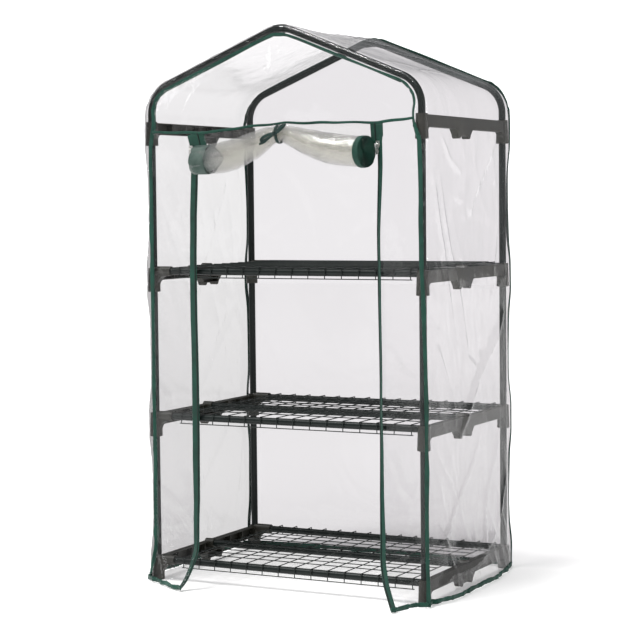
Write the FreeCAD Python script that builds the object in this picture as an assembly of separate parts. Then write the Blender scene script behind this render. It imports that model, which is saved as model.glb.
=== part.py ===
"""Three-tier mini greenhouse: a push-fit tube frame, wire shelves and a zipped film cover.

The object stands on the XY plane. X runs along the front from left to right, Y from the
front to the back, and Z up. While it is built, Y = 0 is the middle of the frame; every
piece is moved at the end so that the origin is the bottom centre of the whole object.
Lengths are millimetres.
"""
import FreeCAD, Part
import math
import os

Vector = FreeCAD.Vector

# ---- frame: overall sizes
post_spacing_x = 672.0      # between the upright axes, left to right
post_spacing_y = 453.0      # between the upright axes, front to back
tier_pitch = 331.5          # from one bracket to the next
tier_count = 3

# ---- tubes
tube_d = 16.0
tube_wall = 0.4
socket_gap = 0.05           # radial clearance of a tube in its socket
end_gap = 0.3               # between a tube's end and the bottom of its socket

# ---- gable tubes
bow_leg = 71.0              # from the foot of the eave bracket to the start of the eave bend
eave_bend_r = 70.0          # centre-line radius
ridge_bend_r = 80.0         # centre-line radius
roof_pitch = 22.0           # degrees above level
bell_wall = 1.4             # wall of the belled end that receives the left tube
bell_reach_left = 15.0      # the bell's open end, left of the ridge
bell_reach_right = 8.0      # where the left tube stops inside the bell
bell_shoulder = 3.0         # solid ring behind the bell

# ---- side brackets
sleeve_h = 54.0
sleeve_r_top = 12.8
sleeve_r_foot = 14.5
sleeve_web = 2.0            # solid plate half way up, on which the uprights stop
foot_chamfer = 1.2
beam_z = (26.0, 52.0)       # underside and top of the beam, above the bracket's foot
beam_t = 16.0
bracket_wall = 2.0
beam_fillet = 14.0          # where the beam meets a sleeve
rib_pitch = 62.0
tab_top_w = 96.0            # width of the hanging tab at the beam
tab_foot_w = 70.0
tab_foot_z = 5.0            # lowest point of the tab's two lobes
tab_notch_z = 11.0          # the shallow notch between the lobes
tab_lobe_w = 16.0
tab_offset = 15.0           # of the tab's middle from the beam's middle

# ---- crossbars and their sockets
bar_z = 47.0                # axis above the bracket's foot
arm_r = 11.0                # outer radius of a long socket
arm_reach = 47.0            # from the upright's axis to the arm's end, on the left brackets
arm_web = 8.95              # solid between an upright's bore and the end of a long socket
arm_gusset = 24.0           # radius of the hollow under an arm
arm_gusset_t = 14.0
stub_web = 0.85             # the same for the short sockets in the right brackets' sleeves
boss_reach = 17.0           # middle socket, from the upright's plane
boss_web = 1.5              # from the beam's face to the end of the middle socket

# ---- wire shelves
wire_d = 2.2
mesh_pitch_x = 41.0
mesh_cells_x = 14
mesh_pitch_y = 38.0
mesh_cells_y = 10
mesh_offset_x = 25.0        # the mesh lies clear of the long sockets on the left
lip_drop = 4.5              # lip wire's top below a crossbar's underside
lip_gap = 1.0               # between a crossbar and the bent-down wire
mesh_lift = 0.3             # the mesh's clearance over the crossbars
weld_bite = 0.3             # how far crossing wires are welded into each other
wire_overhang = 4.0

# ---- film cover
film_t = 0.3
film_gap = 1.6              # between the brackets and the film
roof_gap = 0.6              # between the gable tubes' bells and the film over them
side_bend_z = 56.0          # where the side film leans in to the gable tubes, above the eave bracket's foot
door_shift = 10.5           # the door's middle, right of the frame's middle
door_half_w = 231.5         # from the door's middle to a zip's middle
header_rise = 40.5          # the seam over the door, above the eave brackets' feet
header_h = 5.0
trim_t = 1.0                # thickness of binding, hem and zip tape
trim_w = 11.0
tape_w = 14.0
hem_h = 12.0
skirt_z = 92.0              # below this the front panels curl outwards
skirt_flare = 75.0          # how far the front panels' free corners curl out on the floor

# ---- rolled door, and its tie
roll_y = -28.5              # the roll's axis, in front of the front film's inner face
roll_shift = 8.0            # the tie's middle, right of the door's middle
roll_wall = 2.5             # the rolled-up film, taken as one hollow roll
# each of the roll's stations: x from the tie, depth below the seam over the door, radius
roll_stations = ((-194.5, 76.0, 32.5), (-110.0, 63.0, 33.0), (-14.0, 25.0, 19.0), (0.0, 23.0, 17.0),
                 (14.0, 24.5, 19.0), (112.0, 55.0, 34.0), (207.5, 65.0, 34.5))
strip_gap = 1.0
tie_t = 1.2
tie_w = 10.0
tie_bow = (46.0, 5.0, 15.0)     # width, depth and height of the tied bow
tie_bow_stand = 22.0            # from the roll's axis to the bow's back

# ---- zip sliders and pulls
slider_drop = 50.0          # the sliders' middles, below the seam over the door
slider_size = (10.0, 3.0, 14.0)
slider_gap = 0.3
pin_r = 0.8
pin_gap = 0.08
lug_t = 1.2
lug_r = 1.7
pin_stand = 2.6             # pin's axis in front of the slider
pull_eye_w = 2.8
pull_w = 7.0
pull_t = 1.2
pull_len = 22.0

half_x = post_spacing_x / 2
half_y = post_spacing_y / 2
tube_r = tube_d / 2
bore_r = tube_r + socket_gap
bell_r = bore_r + bell_wall
arm_seat = bore_r + arm_web         # the sockets' ends, from the uprights' axes
stub_seat = bore_r + stub_web
boss_seat = beam_t / 2 + boss_web
eave_z = tier_count * tier_pitch
header_z = eave_z + header_rise
slider_z = header_z - slider_drop
roll_line = [(x, header_z - drop, radius) for x, drop, radius in roll_stations]
wall_x = half_x + sleeve_r_foot + film_gap        # inner face of the side film
wall_y = half_y + sleeve_r_foot + film_gap        # inner face of the front and back film
bend_z = eave_z + bow_leg
pitch_rad = math.radians(roof_pitch)
eave_turn = 90.0 - roof_pitch
level_names = ("lower", "middle", "upper")
nodes = {}


def union(shapes):
    joined = shapes[0].fuse(shapes[1:]) if len(shapes) > 1 else shapes[0]
    return joined.removeSplitter()


def cylinder(radius, start, end):
    along = end - start
    return Part.makeCylinder(radius, along.Length, start, along)


def hollow_run(start, end, outer, inner):
    return cylinder(outer, start, end).cut(cylinder(inner, start, end))


def on_arc(centre, radius, degrees):
    angle = math.radians(degrees)
    return centre + Vector(radius * math.cos(angle), 0, radius * math.sin(angle))


def bend(centre, bend_r, first, last, radius):
    """A stretch of bent rod in an XZ plane, between two angles measured from +X towards +Z."""
    start = on_arc(centre, bend_r, first)
    tangent = on_arc(Vector(0, 0, 0), 1, first + 90)
    disc = Part.Face(Part.Wire(Part.makeCircle(radius, start, tangent)))
    return disc.revolve(centre, Vector(0, -1, 0), last - first)


def polygon(points):
    return Part.Face(Part.makePolygon(points + [points[0]]))


def box(low, high):
    size = Vector(*high) - Vector(*low)
    return Part.makeBox(size.x, size.y, size.z, Vector(*low))


def mirror_x(shape):
    return shape.mirror(Vector(0, 0, 0), Vector(1, 0, 0))


# ---------------------------------------------------------------- frame tubes
def build_posts():
    for end, y in (("front", -half_y), ("back", half_y)):
        for side, x in (("left", -half_x), ("right", half_x)):
            for level, name in enumerate(level_names):
                low = level * tier_pitch + (sleeve_h + sleeve_web) / 2 + end_gap
                high = (level + 1) * tier_pitch + (sleeve_h - sleeve_web) / 2 - end_gap
                tube = hollow_run(Vector(x, y, low), Vector(x, y, high), tube_r, tube_r - tube_wall)
                nodes[f"post_{end}_{side}_{name}"] = tube


def gable_centres(y):
    """Centres of the eave bend (on the right) and of the ridge bend."""
    eave = Vector(half_x - eave_bend_r, y, bend_z)
    eave_end = on_arc(eave, eave_bend_r, eave_turn)
    apex_z = eave_end.z + eave_end.x * math.tan(pitch_rad)
    ridge = Vector(0, y, apex_z - ridge_bend_r / math.cos(pitch_rad))
    return eave, ridge


def bow_rod(y, last_angle, radius):
    """Leg, eave bend, slope and ridge bend up to last_angle, as one bent rod."""
    eave, ridge = gable_centres(y)
    foot = Vector(half_x, y, eave_z + (sleeve_h + sleeve_web) / 2 + end_gap)
    return union([
        cylinder(radius, foot, Vector(half_x, y, bend_z)),
        bend(eave, eave_bend_r, 0, eave_turn, radius),
        cylinder(radius, on_arc(eave, eave_bend_r, eave_turn), on_arc(ridge, ridge_bend_r, eave_turn)),
        bend(ridge, ridge_bend_r, eave_turn, last_angle, radius),
    ])


def ridge_angle(x):
    return math.degrees(math.acos(x / ridge_bend_r))


def build_bows():
    """Two bent tubes a gable. The right one's belled end, at the ridge, receives the left one."""
    stop = ridge_angle(bell_reach_right)
    shoulder = ridge_angle(bell_reach_right + bell_shoulder)
    mouth = ridge_angle(-bell_reach_left)
    left_end = ridge_angle(-bell_reach_right + end_gap)
    inner = tube_r - tube_wall
    for end, y in (("front", -half_y), ("back", half_y)):
        ridge = gable_centres(y)[1]
        bell = bend(ridge, ridge_bend_r, shoulder, mouth, bell_r)
        bell = bell.cut(bend(ridge, ridge_bend_r, stop, mouth, bore_r))
        right = union([bow_rod(y, shoulder, tube_r), bell]).cut(bow_rod(y, stop, inner))
        nodes[f"roof_bow_{end}_right"] = right
        left = bow_rod(y, left_end, tube_r).cut(bow_rod(y, left_end, inner))
        nodes[f"roof_bow_{end}_left"] = mirror_x(left)


# ---------------------------------------------------------------- side brackets
def bracket_plate(offset):
    """Beam, fillets and hanging tab, seen from the side, in the YZ plane at X = 0."""
    under, top = beam_z
    reach = half_y - sleeve_r_top / 2
    turn = half_y - sleeve_r_foot + 1.0     # the fillet runs into the sleeve's side
    low = under - beam_fillet
    mid = offset
    half_top, half_foot = tab_top_w / 2, tab_foot_w / 2

    def fillet(side):
        centre = Vector(0, side * (turn - beam_fillet), low)
        start = Vector(0, side * turn, low)
        end = Vector(0, side * (turn - beam_fillet), under)
        middle = centre + Vector(0, side * beam_fillet * math.sin(math.pi / 4), beam_fillet * math.sin(math.pi / 4))
        return (start, middle, end)

    lobe = tab_lobe_w / 2
    left, right = fillet(-1), fillet(1)
    path = [
        ("line", Vector(0, -reach, top), Vector(0, -reach, low)),
        ("line", Vector(0, -reach, low), left[0]),
        ("arc", *left),
        ("line", left[2], Vector(0, mid - half_top, under)),
        ("line", Vector(0, mid - half_top, under), Vector(0, mid - half_foot, tab_foot_z + lobe)),
        ("arc", Vector(0, mid - half_foot, tab_foot_z + lobe), Vector(0, mid - half_foot + lobe, tab_foot_z),
         Vector(0, mid - half_foot + 2 * lobe, tab_notch_z)),
        ("line", Vector(0, mid - half_foot + 2 * lobe, tab_notch_z),
         Vector(0, mid + half_foot - 2 * lobe, tab_notch_z)),
        ("arc", Vector(0, mid + half_foot - 2 * lobe, tab_notch_z), Vector(0, mid + half_foot - lobe, tab_foot_z),
         Vector(0, mid + half_foot, tab_foot_z + lobe)),
        ("line", Vector(0, mid + half_foot, tab_foot_z + lobe), Vector(0, mid + half_top, under)),
        ("line", Vector(0, mid + half_top, under), right[2]),
        ("arc", right[2], right[1], right[0]),
        ("line", right[0], Vector(0, reach, low)),
        ("line", Vector(0, reach, low), Vector(0, reach, top)),
        ("line", Vector(0, reach, top), Vector(0, -reach, top)),
    ]
    edges = [Part.LineSegment(*points).toShape() if kind == "line" else Part.Arc(*points).toShape()
             for kind, *points in path]
    return Part.Face(Part.Wire(edges)).extrude(Vector(beam_t, 0, 0)).translated(Vector(-beam_t / 2, 0, 0))


def beam_pockets(offset):
    """Pockets moulded into the beam's inner face, with ribs left between them, and one in the tab."""
    depth = beam_t - bracket_wall
    under, top = beam_z
    reach = half_y - sleeve_r_foot - bracket_wall
    count = max(1, round(2 * reach / rib_pitch))
    pitch = 2 * reach / count
    pockets = []
    for i in range(count):
        start = -reach + i * pitch + bracket_wall / 2
        low = (-beam_t / 2 + bracket_wall, start, under + bracket_wall)
        high = (low[0] + depth + 1, start + pitch - bracket_wall, top - bracket_wall)
        pockets.append(box(low, high))
    half = tab_foot_w / 2 - bracket_wall
    low = (-beam_t / 2 + bracket_wall, offset - half, tab_notch_z + bracket_wall)
    pockets.append(box(low, (low[0] + depth + 1, offset + half, under)))
    return pockets


def sleeve(y):
    body = Part.makeCone(sleeve_r_foot, sleeve_r_top, sleeve_h, Vector(0, y, 0))
    bottom = [edge for edge in body.Edges if abs(edge.BoundBox.ZMax) < 0.01 and len(edge.Vertexes) == 1]
    return body.makeChamfer(foot_chamfer, bottom)


def long_socket(y):
    """A crossbar's arm, pointing inwards, and the hollowed gusset under it."""
    arm = cylinder(arm_r, Vector(0, y, bar_z), Vector(arm_reach, y, bar_z))
    under = bar_z - arm_r
    inner = sleeve_r_top - 1.0
    outer = inner + arm_gusset
    corner = Vector(outer, y - arm_gusset_t / 2, under - arm_gusset)
    web = box((0, y - arm_gusset_t / 2, corner.z), (outer, y + arm_gusset_t / 2, bar_z))
    hollow = Part.makeCylinder(arm_gusset, arm_gusset_t, corner, Vector(0, 1, 0))
    below = box((inner, corner.y, corner.z - 1), (outer + 1, corner.y + arm_gusset_t, corner.z))
    return arm.fuse(web.cut([hollow, below]))


def build_bracket(long_arms, has_sockets):
    """One bracket, its foot at Z = 0, its beam along Y, and the greenhouse's inside towards +X."""
    solids = [bracket_plate(tab_offset), sleeve(-half_y), sleeve(half_y)]
    cuts = beam_pockets(tab_offset)
    body = union(solids).cut(cuts)
    adds = []
    bores = []
    web = (sleeve_h - sleeve_web) / 2
    for y in (-half_y, half_y):
        bores.append(cylinder(bore_r, Vector(0, y, -1), Vector(0, y, web)))
        bores.append(cylinder(bore_r, Vector(0, y, web + sleeve_web), Vector(0, y, bar_z + arm_r + 1)))
        if has_sockets:
            seat = arm_seat if long_arms else stub_seat
            if long_arms:
                adds.append(long_socket(y))
            bores.append(cylinder(bore_r, Vector(seat, y, bar_z), Vector(arm_reach + 1, y, bar_z)))
    if has_sockets:
        adds.append(cylinder(arm_r, Vector(-beam_t / 2 + bracket_wall, 0, bar_z), Vector(boss_reach, 0, bar_z)))
        bores.append(cylinder(bore_r, Vector(boss_seat, 0, bar_z), Vector(boss_reach + 1, 0, bar_z)))
    if adds:
        body = body.fuse(adds)
    return body.cut(bores).removeSplitter()


def build_brackets():
    half_turn = (Vector(0, 0, 0), Vector(0, 0, 1), 180)
    for level, name in enumerate(level_names + ("eave",)):
        is_shelf = level < tier_count
        for side, x in (("left", -half_x), ("right", half_x)):
            bracket = build_bracket(side == "left", is_shelf)
            if side == "right":
                bracket.rotate(*half_turn)
            bracket.translate(Vector(x, 0, level * tier_pitch))
            nodes[f"bracket_{side}_{name}"] = bracket


def build_crossbars():
    for level in range(tier_count):
        z = level * tier_pitch + bar_z
        for place, y in (("front", -half_y), ("middle", 0.0), ("back", half_y)):
            left_seat, right_seat = (boss_seat, boss_seat) if place == "middle" else (arm_seat, stub_seat)
            start = Vector(-half_x + left_seat + end_gap, y, z)
            end = Vector(half_x - right_seat - end_gap, y, z)
            bar = hollow_run(start, end, tube_r, tube_r - tube_wall)
            nodes[f"crossbar_{place}_{level_names[level]}"] = bar


# ---------------------------------------------------------------- wire shelves
def shelf_mesh():
    """A welded mesh for the lowest level: wires front to back, with both ends bent down, and cross wires."""
    wire_r = wire_d / 2
    base = bar_z + tube_r + mesh_lift + wire_r                  # axes of the front-to-back wires
    lip_y = half_y + tube_r + lip_gap + wire_r
    lip_z = bar_z - tube_r - lip_drop - wire_r
    first_x = mesh_offset_x - mesh_cells_x * mesh_pitch_x / 2
    last_x = first_x + mesh_cells_x * mesh_pitch_x
    step = wire_d - weld_bite
    wires = []
    for i in range(mesh_cells_x + 1):
        x = first_x + i * mesh_pitch_x
        corners = [Vector(x, -lip_y, lip_z), Vector(x, -lip_y, base), Vector(x, lip_y, base), Vector(x, lip_y, lip_z)]
        runs = [cylinder(wire_r, a, b) for a, b in zip(corners, corners[1:])]
        knuckles = [Part.makeSphere(wire_r, corner) for corner in corners[1:3]]
        wires.append(union(runs + knuckles))
    left, right = first_x - wire_overhang, last_x + wire_overhang
    for i in range(mesh_cells_y + 1):
        y = (i - mesh_cells_y / 2) * mesh_pitch_y
        wires.append(cylinder(wire_r, Vector(left, y, base + step), Vector(right, y, base + step)))
    for side in (-1, 1):
        wires.append(cylinder(wire_r, Vector(left, side * lip_y, lip_z), Vector(right, side * lip_y, lip_z)))
    return wires


def build_shelves():
    mesh = union(shelf_mesh())
    for level in range(tier_count):
        nodes[f"shelf_mesh_{level_names[level]}"] = mesh.translated(Vector(0, 0, level * tier_pitch))


# ---------------------------------------------------------------- cover outline
def tangent_point(point, centre, radius):
    """Where a line from a point outside touches a circle in the XZ plane, on the side away from X = 0."""
    across = point - centre
    distance = across.Length
    turn = math.atan2(across.z, across.x) + math.acos(radius / distance)
    return centre + Vector(radius * math.cos(turn), 0, radius * math.sin(turn))


def roof_outline(y, outwards):
    """Half of the cover's outline from the side's bend to the ridge, on the right, offset outwards."""
    eave, ridge = gable_centres(y)
    radius = bell_r + roof_gap + outwards
    lean_foot = Vector(wall_x + outwards, y, eave_z + side_bend_z)
    eave_r = eave_bend_r + radius
    ridge_r = ridge_bend_r + radius
    lean_top = tangent_point(lean_foot, eave, eave_r)
    lean_angle = math.degrees(math.atan2(lean_top.z - eave.z, lean_top.x - eave.x))
    eave_end = on_arc(eave, eave_r, eave_turn)
    slope_end = on_arc(ridge, ridge_r, eave_turn)
    top = on_arc(ridge, ridge_r, 90)
    return [
        ("line", lean_foot, lean_top),
        ("arc", lean_top, on_arc(eave, eave_r, (lean_angle + eave_turn) / 2), eave_end),
        ("line", eave_end, slope_end),
        ("arc", slope_end, on_arc(ridge, ridge_r, (eave_turn + 90) / 2), top),
    ]


def edges_of(path):
    return [Part.LineSegment(*points).toShape() if kind == "line" else Part.Arc(*points).toShape()
            for kind, *points in path]


def reverse(path):
    return [(kind, *points[::-1]) for kind, *points in path[::-1]]


def line(start, end):
    return ("line", start, end)


def band(outer, inner, depth):
    """A strip between two outlines of the right half, extruded along Y."""
    first, last = outer[0][1], outer[-1][-1]
    inner_first, inner_last = inner[0][1], inner[-1][-1]
    path = outer + [line(last, inner_last)] + reverse(inner) + [line(inner_first, first)]
    return Part.Face(Part.Wire(edges_of(path))).extrude(Vector(0, depth, 0))


def flat_gable(y, low_z, depth):
    """A full-width flat panel from low_z up to the roof outline."""
    half = roof_outline(y, film_t)
    foot = half[0][1]
    top = half[-1][-1]
    bottom = Vector(foot.x, y, low_z)
    middle = Vector(0, y, low_z)
    path = [line(middle, bottom), line(bottom, foot)] + half + [line(top, middle)]
    right = Part.Face(Part.Wire(edges_of(path))).extrude(Vector(0, depth, 0))
    return union([right, mirror_x(right)])


def build_film():
    lean_z = eave_z + side_bend_z
    side = box((wall_x, -wall_y, 0), (wall_x + film_t, wall_y, lean_z))
    nodes["film_side_right"] = side
    nodes["film_side_left"] = mirror_x(side)
    roof = band(roof_outline(-wall_y, film_t), roof_outline(-wall_y, 0), 2 * wall_y)
    nodes["film_roof_right"] = roof
    nodes["film_roof_left"] = mirror_x(roof)
    nodes["film_back"] = flat_gable(wall_y, 0, film_t)
    nodes["film_front_gable"] = flat_gable(-wall_y - film_t, header_z, film_t)


# ---------------------------------------------------------------- front panels, tapes and hem
def skirt_section(side, inner_x, outer_x, face_y, depth, z):
    """A thin strip's section at height z. Below skirt_z its free corner curls out of the front plane."""
    free_x = door_shift + side * (door_half_w - tape_w / 2)
    corner_x = side * (wall_x + film_t)
    fall = max(0.0, 1 - z / skirt_z)

    def curl(x):
        return -skirt_flare * fall * (x - corner_x) / (free_x - corner_x)

    points = [(inner_x, face_y + curl(inner_x)), (outer_x, face_y + curl(outer_x)),
              (outer_x, face_y + curl(outer_x) - depth), (inner_x, face_y + curl(inner_x) - depth)]
    corners = [Vector(x, y, z) for x, y in points]
    return Part.makePolygon(corners + [corners[0]])


def skirt_strip(side, inner_x, outer_x, face_y, depth, heights):
    pieces = [Part.makeLoft([skirt_section(side, inner_x, outer_x, face_y, depth, z) for z in pair], True, True)
              for pair in zip(heights, heights[1:])]
    return union(pieces)


def build_bindings():
    """Green binding along the edges of the front and back panels, on their outer faces."""
    corner_x = wall_x + film_t
    top_z = eave_z + side_bend_z
    for end, y in (("front", -wall_y - film_t - trim_t), ("back", wall_y + film_t)):
        arch = band(roof_outline(y, film_t), roof_outline(y, film_t - trim_w), trim_t)
        for name, side in (("left", -1), ("right", 1)):
            inner_x, outer_x = side * (corner_x - trim_w), side * corner_x
            if end == "front":
                foot = skirt_strip(side, inner_x, outer_x, -wall_y - film_t, trim_t, (hem_h, skirt_z, top_z))
            else:
                foot = box((min(inner_x, outer_x), y, hem_h), (max(inner_x, outer_x), y + trim_t, top_z))
            nodes[f"binding_{end}_{name}"] = union([arch if side > 0 else mirror_x(arch), foot])
    header = box((-wall_x + trim_w, -wall_y - film_t - trim_t, header_z - header_h),
                 (wall_x - trim_w, -wall_y - film_t, header_z + header_h / 2))
    nodes["binding_header"] = header


def build_front_panels():
    for name, side in (("left", -1), ("right", 1)):
        zip_x = door_shift + side * door_half_w
        free_x = zip_x - side * tape_w / 2
        corner_x = side * (wall_x + film_t)
        panel = skirt_strip(side, free_x, corner_x, -wall_y, film_t, (0, skirt_z, header_z))
        nodes[f"film_front_{name}"] = panel
        tape = skirt_strip(side, free_x, free_x + side * tape_w, -wall_y - film_t, trim_t,
                           (hem_h, skirt_z, header_z - header_h))
        nodes[f"zip_tape_{name}"] = tape


def build_hem():
    """The hem's five pieces: both sides, the back, and under each front panel."""
    outer_x = wall_x + film_t
    outer_y = wall_y + film_t
    pieces = []
    for name, side in (("left", -1), ("right", 1)):
        rail = box((outer_x, -outer_y, 0), (outer_x + trim_t, outer_y, hem_h))
        pieces.append(rail if side > 0 else mirror_x(rail))
        free_x = door_shift + side * (door_half_w - tape_w / 2)
        pieces.append(skirt_strip(side, free_x, side * outer_x, -outer_y, trim_t, (0, hem_h)))
    pieces.append(box((-outer_x, outer_y, 0), (outer_x, outer_y + trim_t, hem_h)))
    nodes["floor_hem"] = Part.makeCompound(pieces)


# ---------------------------------------------------------------- rolled door and its tie
def build_door():
    y = -wall_y + roll_y
    tie_x = door_shift + roll_shift
    rings = [Part.Wire(Part.makeCircle(radius, Vector(tie_x + x, y, z), Vector(1, 0, 0)))
             for x, z, radius in roll_line]
    cores = [Part.Wire(Part.makeCircle(radius - roll_wall, Vector(tie_x + x, y, z), Vector(1, 0, 0)))
             for x, z, radius in roll_line]
    outside, inside = [union([Part.makeLoft(list(pair), True, True) for pair in zip(wires, wires[1:])])
                       for wires in (rings, cores)]
    nodes["door_roll"] = outside.cut(inside)

    face = -wall_y - film_t
    waist_z = next(z for x, z, radius in roll_line if x == 0.0)
    top_z = header_z - header_h - strip_gap
    stand = face - y
    rises = [math.sqrt(max(0.0, radius ** 2 - stand ** 2)) for x, z, radius in roll_line]
    tops = [Vector(tie_x + x, face, min(z + rise + strip_gap, top_z - film_t))
            for (x, z, radius), rise in zip(roll_line, rises) if x != 0.0]
    ends = [Vector(tops[-1].x, face, top_z), Vector(tops[0].x, face, top_z)]
    strip = polygon(tops + ends).extrude(Vector(0, film_t, 0))
    tie_half = tie_w / 2 + strip_gap
    notch = box((tie_x - tie_half, face - 1, waist_z), (tie_x + tie_half, face + 1, header_z))
    nodes["door_strip"] = strip.cut(notch)

    waist = Vector(tie_x, y, waist_z)
    half_w = Vector(tie_w / 2, 0, 0)
    widest = max(radius for x, z, radius in roll_line if abs(x) <= 14.0)
    loop = hollow_run(waist - half_w, waist + half_w, widest + 2 * tie_t, widest)
    bow_w, bow_d, bow_h = tie_bow
    bow_back = y - tie_bow_stand
    bow = box((tie_x - bow_w / 2, bow_back - bow_d, waist_z - bow_h / 2),
              (tie_x + bow_w / 2, bow_back, waist_z + bow_h / 2))
    knot = box((tie_x - tie_w / 2, bow_back - bow_d / 2, waist_z - tie_w / 2),
               (tie_x + tie_w / 2, y - widest - tie_t, waist_z + tie_w / 2))
    nodes["door_tie"] = union([loop, knot, bow])


# ---------------------------------------------------------------- zip sliders and pulls
def build_zips():
    wide, deep, tall = slider_size
    back_y = -wall_y - film_t - trim_t - slider_gap
    face_y = back_y - deep
    pin_y = face_y - pin_stand
    lug_in = pull_eye_w / 2 + 2 * pin_gap
    for name, side in (("left", -1), ("right", 1)):
        x = door_shift + side * door_half_w
        body = box((x - wide / 2, face_y, slider_z - tall / 2), (x + wide / 2, back_y, slider_z + tall / 2))
        edges = [edge for edge in body.Edges if abs(edge.tangentAt(edge.FirstParameter).y) > 0.9]
        body = body.makeFillet(wide / 4, edges)
        adds = [cylinder(pin_r, Vector(x - lug_in - lug_t, pin_y, slider_z),
                         Vector(x + lug_in + lug_t, pin_y, slider_z))]
        for way in (-1, 1):
            inner = Vector(x + way * lug_in, pin_y, slider_z)
            adds.append(cylinder(lug_r, inner, inner + Vector(way * lug_t, 0, 0)))
            low_x, high_x = sorted((x + way * lug_in, x + way * (lug_in + lug_t)))
            adds.append(box((low_x, pin_y, slider_z - lug_r), (high_x, face_y, slider_z + lug_r)))
        nodes[f"zip_slider_{name}"] = union([body] + adds)

        hole_r = pin_r + pin_gap
        eye_r = lug_r
        half_eye = pull_eye_w / 2
        eye = cylinder(eye_r, Vector(x - half_eye, pin_y, slider_z), Vector(x + half_eye, pin_y, slider_z))
        neck = box((x - half_eye, pin_y - pull_t / 2, slider_z - 2 * eye_r - pull_t),
                   (x + half_eye, pin_y + pull_t / 2, slider_z))
        plate = box((x - pull_w / 2, pin_y - pull_t / 2, slider_z - pull_len),
                    (x + pull_w / 2, pin_y + pull_t / 2, slider_z - 2 * eye_r))
        hole = cylinder(hole_r, Vector(x - half_eye - 1, pin_y, slider_z), Vector(x + half_eye + 1, pin_y, slider_z))
        nodes[f"zip_pull_{name}"] = union([eye, neck, plate]).cut(hole)


def export_all():
    """Move the whole object so that the origin is its bottom centre, and write one file per piece."""
    front_reach = wall_y + film_t + trim_t + skirt_flare
    back_reach = wall_y + film_t + trim_t
    shift = Vector(0, (front_reach - back_reach) / 2, 0)
    os.makedirs("parts", exist_ok=True)
    for name, shape in nodes.items():
        shape.translated(shift).exportStep(f"parts/{name}.step")
    print(len(nodes), "pieces, moved back by", round(shift.y, 2))


build_posts()
build_bows()
build_brackets()
build_crossbars()
build_shelves()
build_film()
build_bindings()
build_front_panels()
build_hem()
build_door()
build_zips()
export_all()
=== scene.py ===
"""Looks of the mini greenhouse: powder-coated tubes, moulded brackets, wire shelves and a clear film cover.

All lengths are metres. X runs left to right, Y front to back, Z up. The film panels are sheets
drawn over the frame with folds made in code; bindings, tapes and hem are sewn strips swept along
the film's own edges.
"""
import bpy
import math
import numpy as np
from mathutils import Matrix, Vector


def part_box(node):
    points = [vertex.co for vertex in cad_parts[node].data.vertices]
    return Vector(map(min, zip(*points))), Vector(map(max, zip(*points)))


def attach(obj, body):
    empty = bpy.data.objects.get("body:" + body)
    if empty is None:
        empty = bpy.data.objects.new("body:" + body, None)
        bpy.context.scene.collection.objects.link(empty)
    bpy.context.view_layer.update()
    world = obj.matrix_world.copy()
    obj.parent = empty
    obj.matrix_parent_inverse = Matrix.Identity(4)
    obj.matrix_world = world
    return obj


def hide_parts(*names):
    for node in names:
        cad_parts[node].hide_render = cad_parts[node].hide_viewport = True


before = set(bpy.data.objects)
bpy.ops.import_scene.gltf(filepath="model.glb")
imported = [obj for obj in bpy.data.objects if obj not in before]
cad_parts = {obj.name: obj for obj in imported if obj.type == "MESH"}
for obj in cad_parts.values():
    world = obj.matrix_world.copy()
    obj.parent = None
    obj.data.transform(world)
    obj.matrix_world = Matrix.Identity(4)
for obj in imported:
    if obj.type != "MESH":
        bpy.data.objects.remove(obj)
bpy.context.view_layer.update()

# ---------------------------------------------------------------- sizes, read from the frame
right_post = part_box("post_front_right_lower")
back_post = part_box("post_back_right_lower")
POST_X = (right_post[0].x + right_post[1].x) / 2
FRONT_Y = (right_post[0].y + right_post[1].y) / 2
BACK_Y = (back_post[0].y + back_post[1].y) / 2
WALL_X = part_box("film_side_right")[0].x
FRONT_FILM_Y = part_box("film_front_gable")[0].y
BACK_FILM_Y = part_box("film_back")[1].y
HEADER_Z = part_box("film_front_gable")[0].z
LEVELS = [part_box(f"bracket_right_{name}")[0].z for name in ("lower", "middle", "upper", "eave")]
TAPE_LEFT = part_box("zip_tape_left")
TAPE_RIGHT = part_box("zip_tape_right")
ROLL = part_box("door_roll")
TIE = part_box("door_tie")

# ---------------------------------------------------------------- sizes of the visual pieces
EAVE_BEND_R = 0.070
RIDGE_BEND_R = 0.080
BEND_Z = LEVELS[3] + 0.071
ROOF_PITCH = math.radians(22)
SLEEVE_H = 0.054
ROOF_OFF = 0.0102               # film above the gable tubes' axes
WALL_OFF = WALL_X - POST_X      # side film outside the posts' axes
STEP = 0.0045                   # film mesh pitch
ARC_COLUMNS = 7
BINDING_W = 0.0095
BINDING_T = 0.0026
SAFE = 0.0155                   # least distance of the film from a bracket sleeve's axis


def smooth(low, high, value):
    part = np.clip((np.asarray(value, float) - low) / (high - low), 0, 1)
    return part * part * (3 - 2 * part)


# ---------------------------------------------------------------- folds and crinkles
def lattice(u, v, seed):
    """Smooth random field from 0 to 1 on the (u, v) plane, one value per unit cell corner."""
    cells = np.random.RandomState(seed).rand(64, 64)
    iu, iv = np.floor(u).astype(int), np.floor(v).astype(int)
    fu, fv = u - iu, v - iv
    fu, fv = fu * fu * (3 - 2 * fu), fv * fv * (3 - 2 * fv)
    a, b = cells[iu % 64, iv % 64], cells[(iu + 1) % 64, iv % 64]
    c, d = cells[iu % 64, (iv + 1) % 64], cells[(iu + 1) % 64, (iv + 1) % 64]
    return (a * (1 - fu) + b * fu) * (1 - fv) + (c * (1 - fu) + d * fu) * fv


def ridges(u, v, seed, power=5):
    """Thin creases along the level lines of a random field."""
    wave = 1 - np.abs(2 * lattice(u, v, seed) - 1)
    return wave ** power


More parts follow.
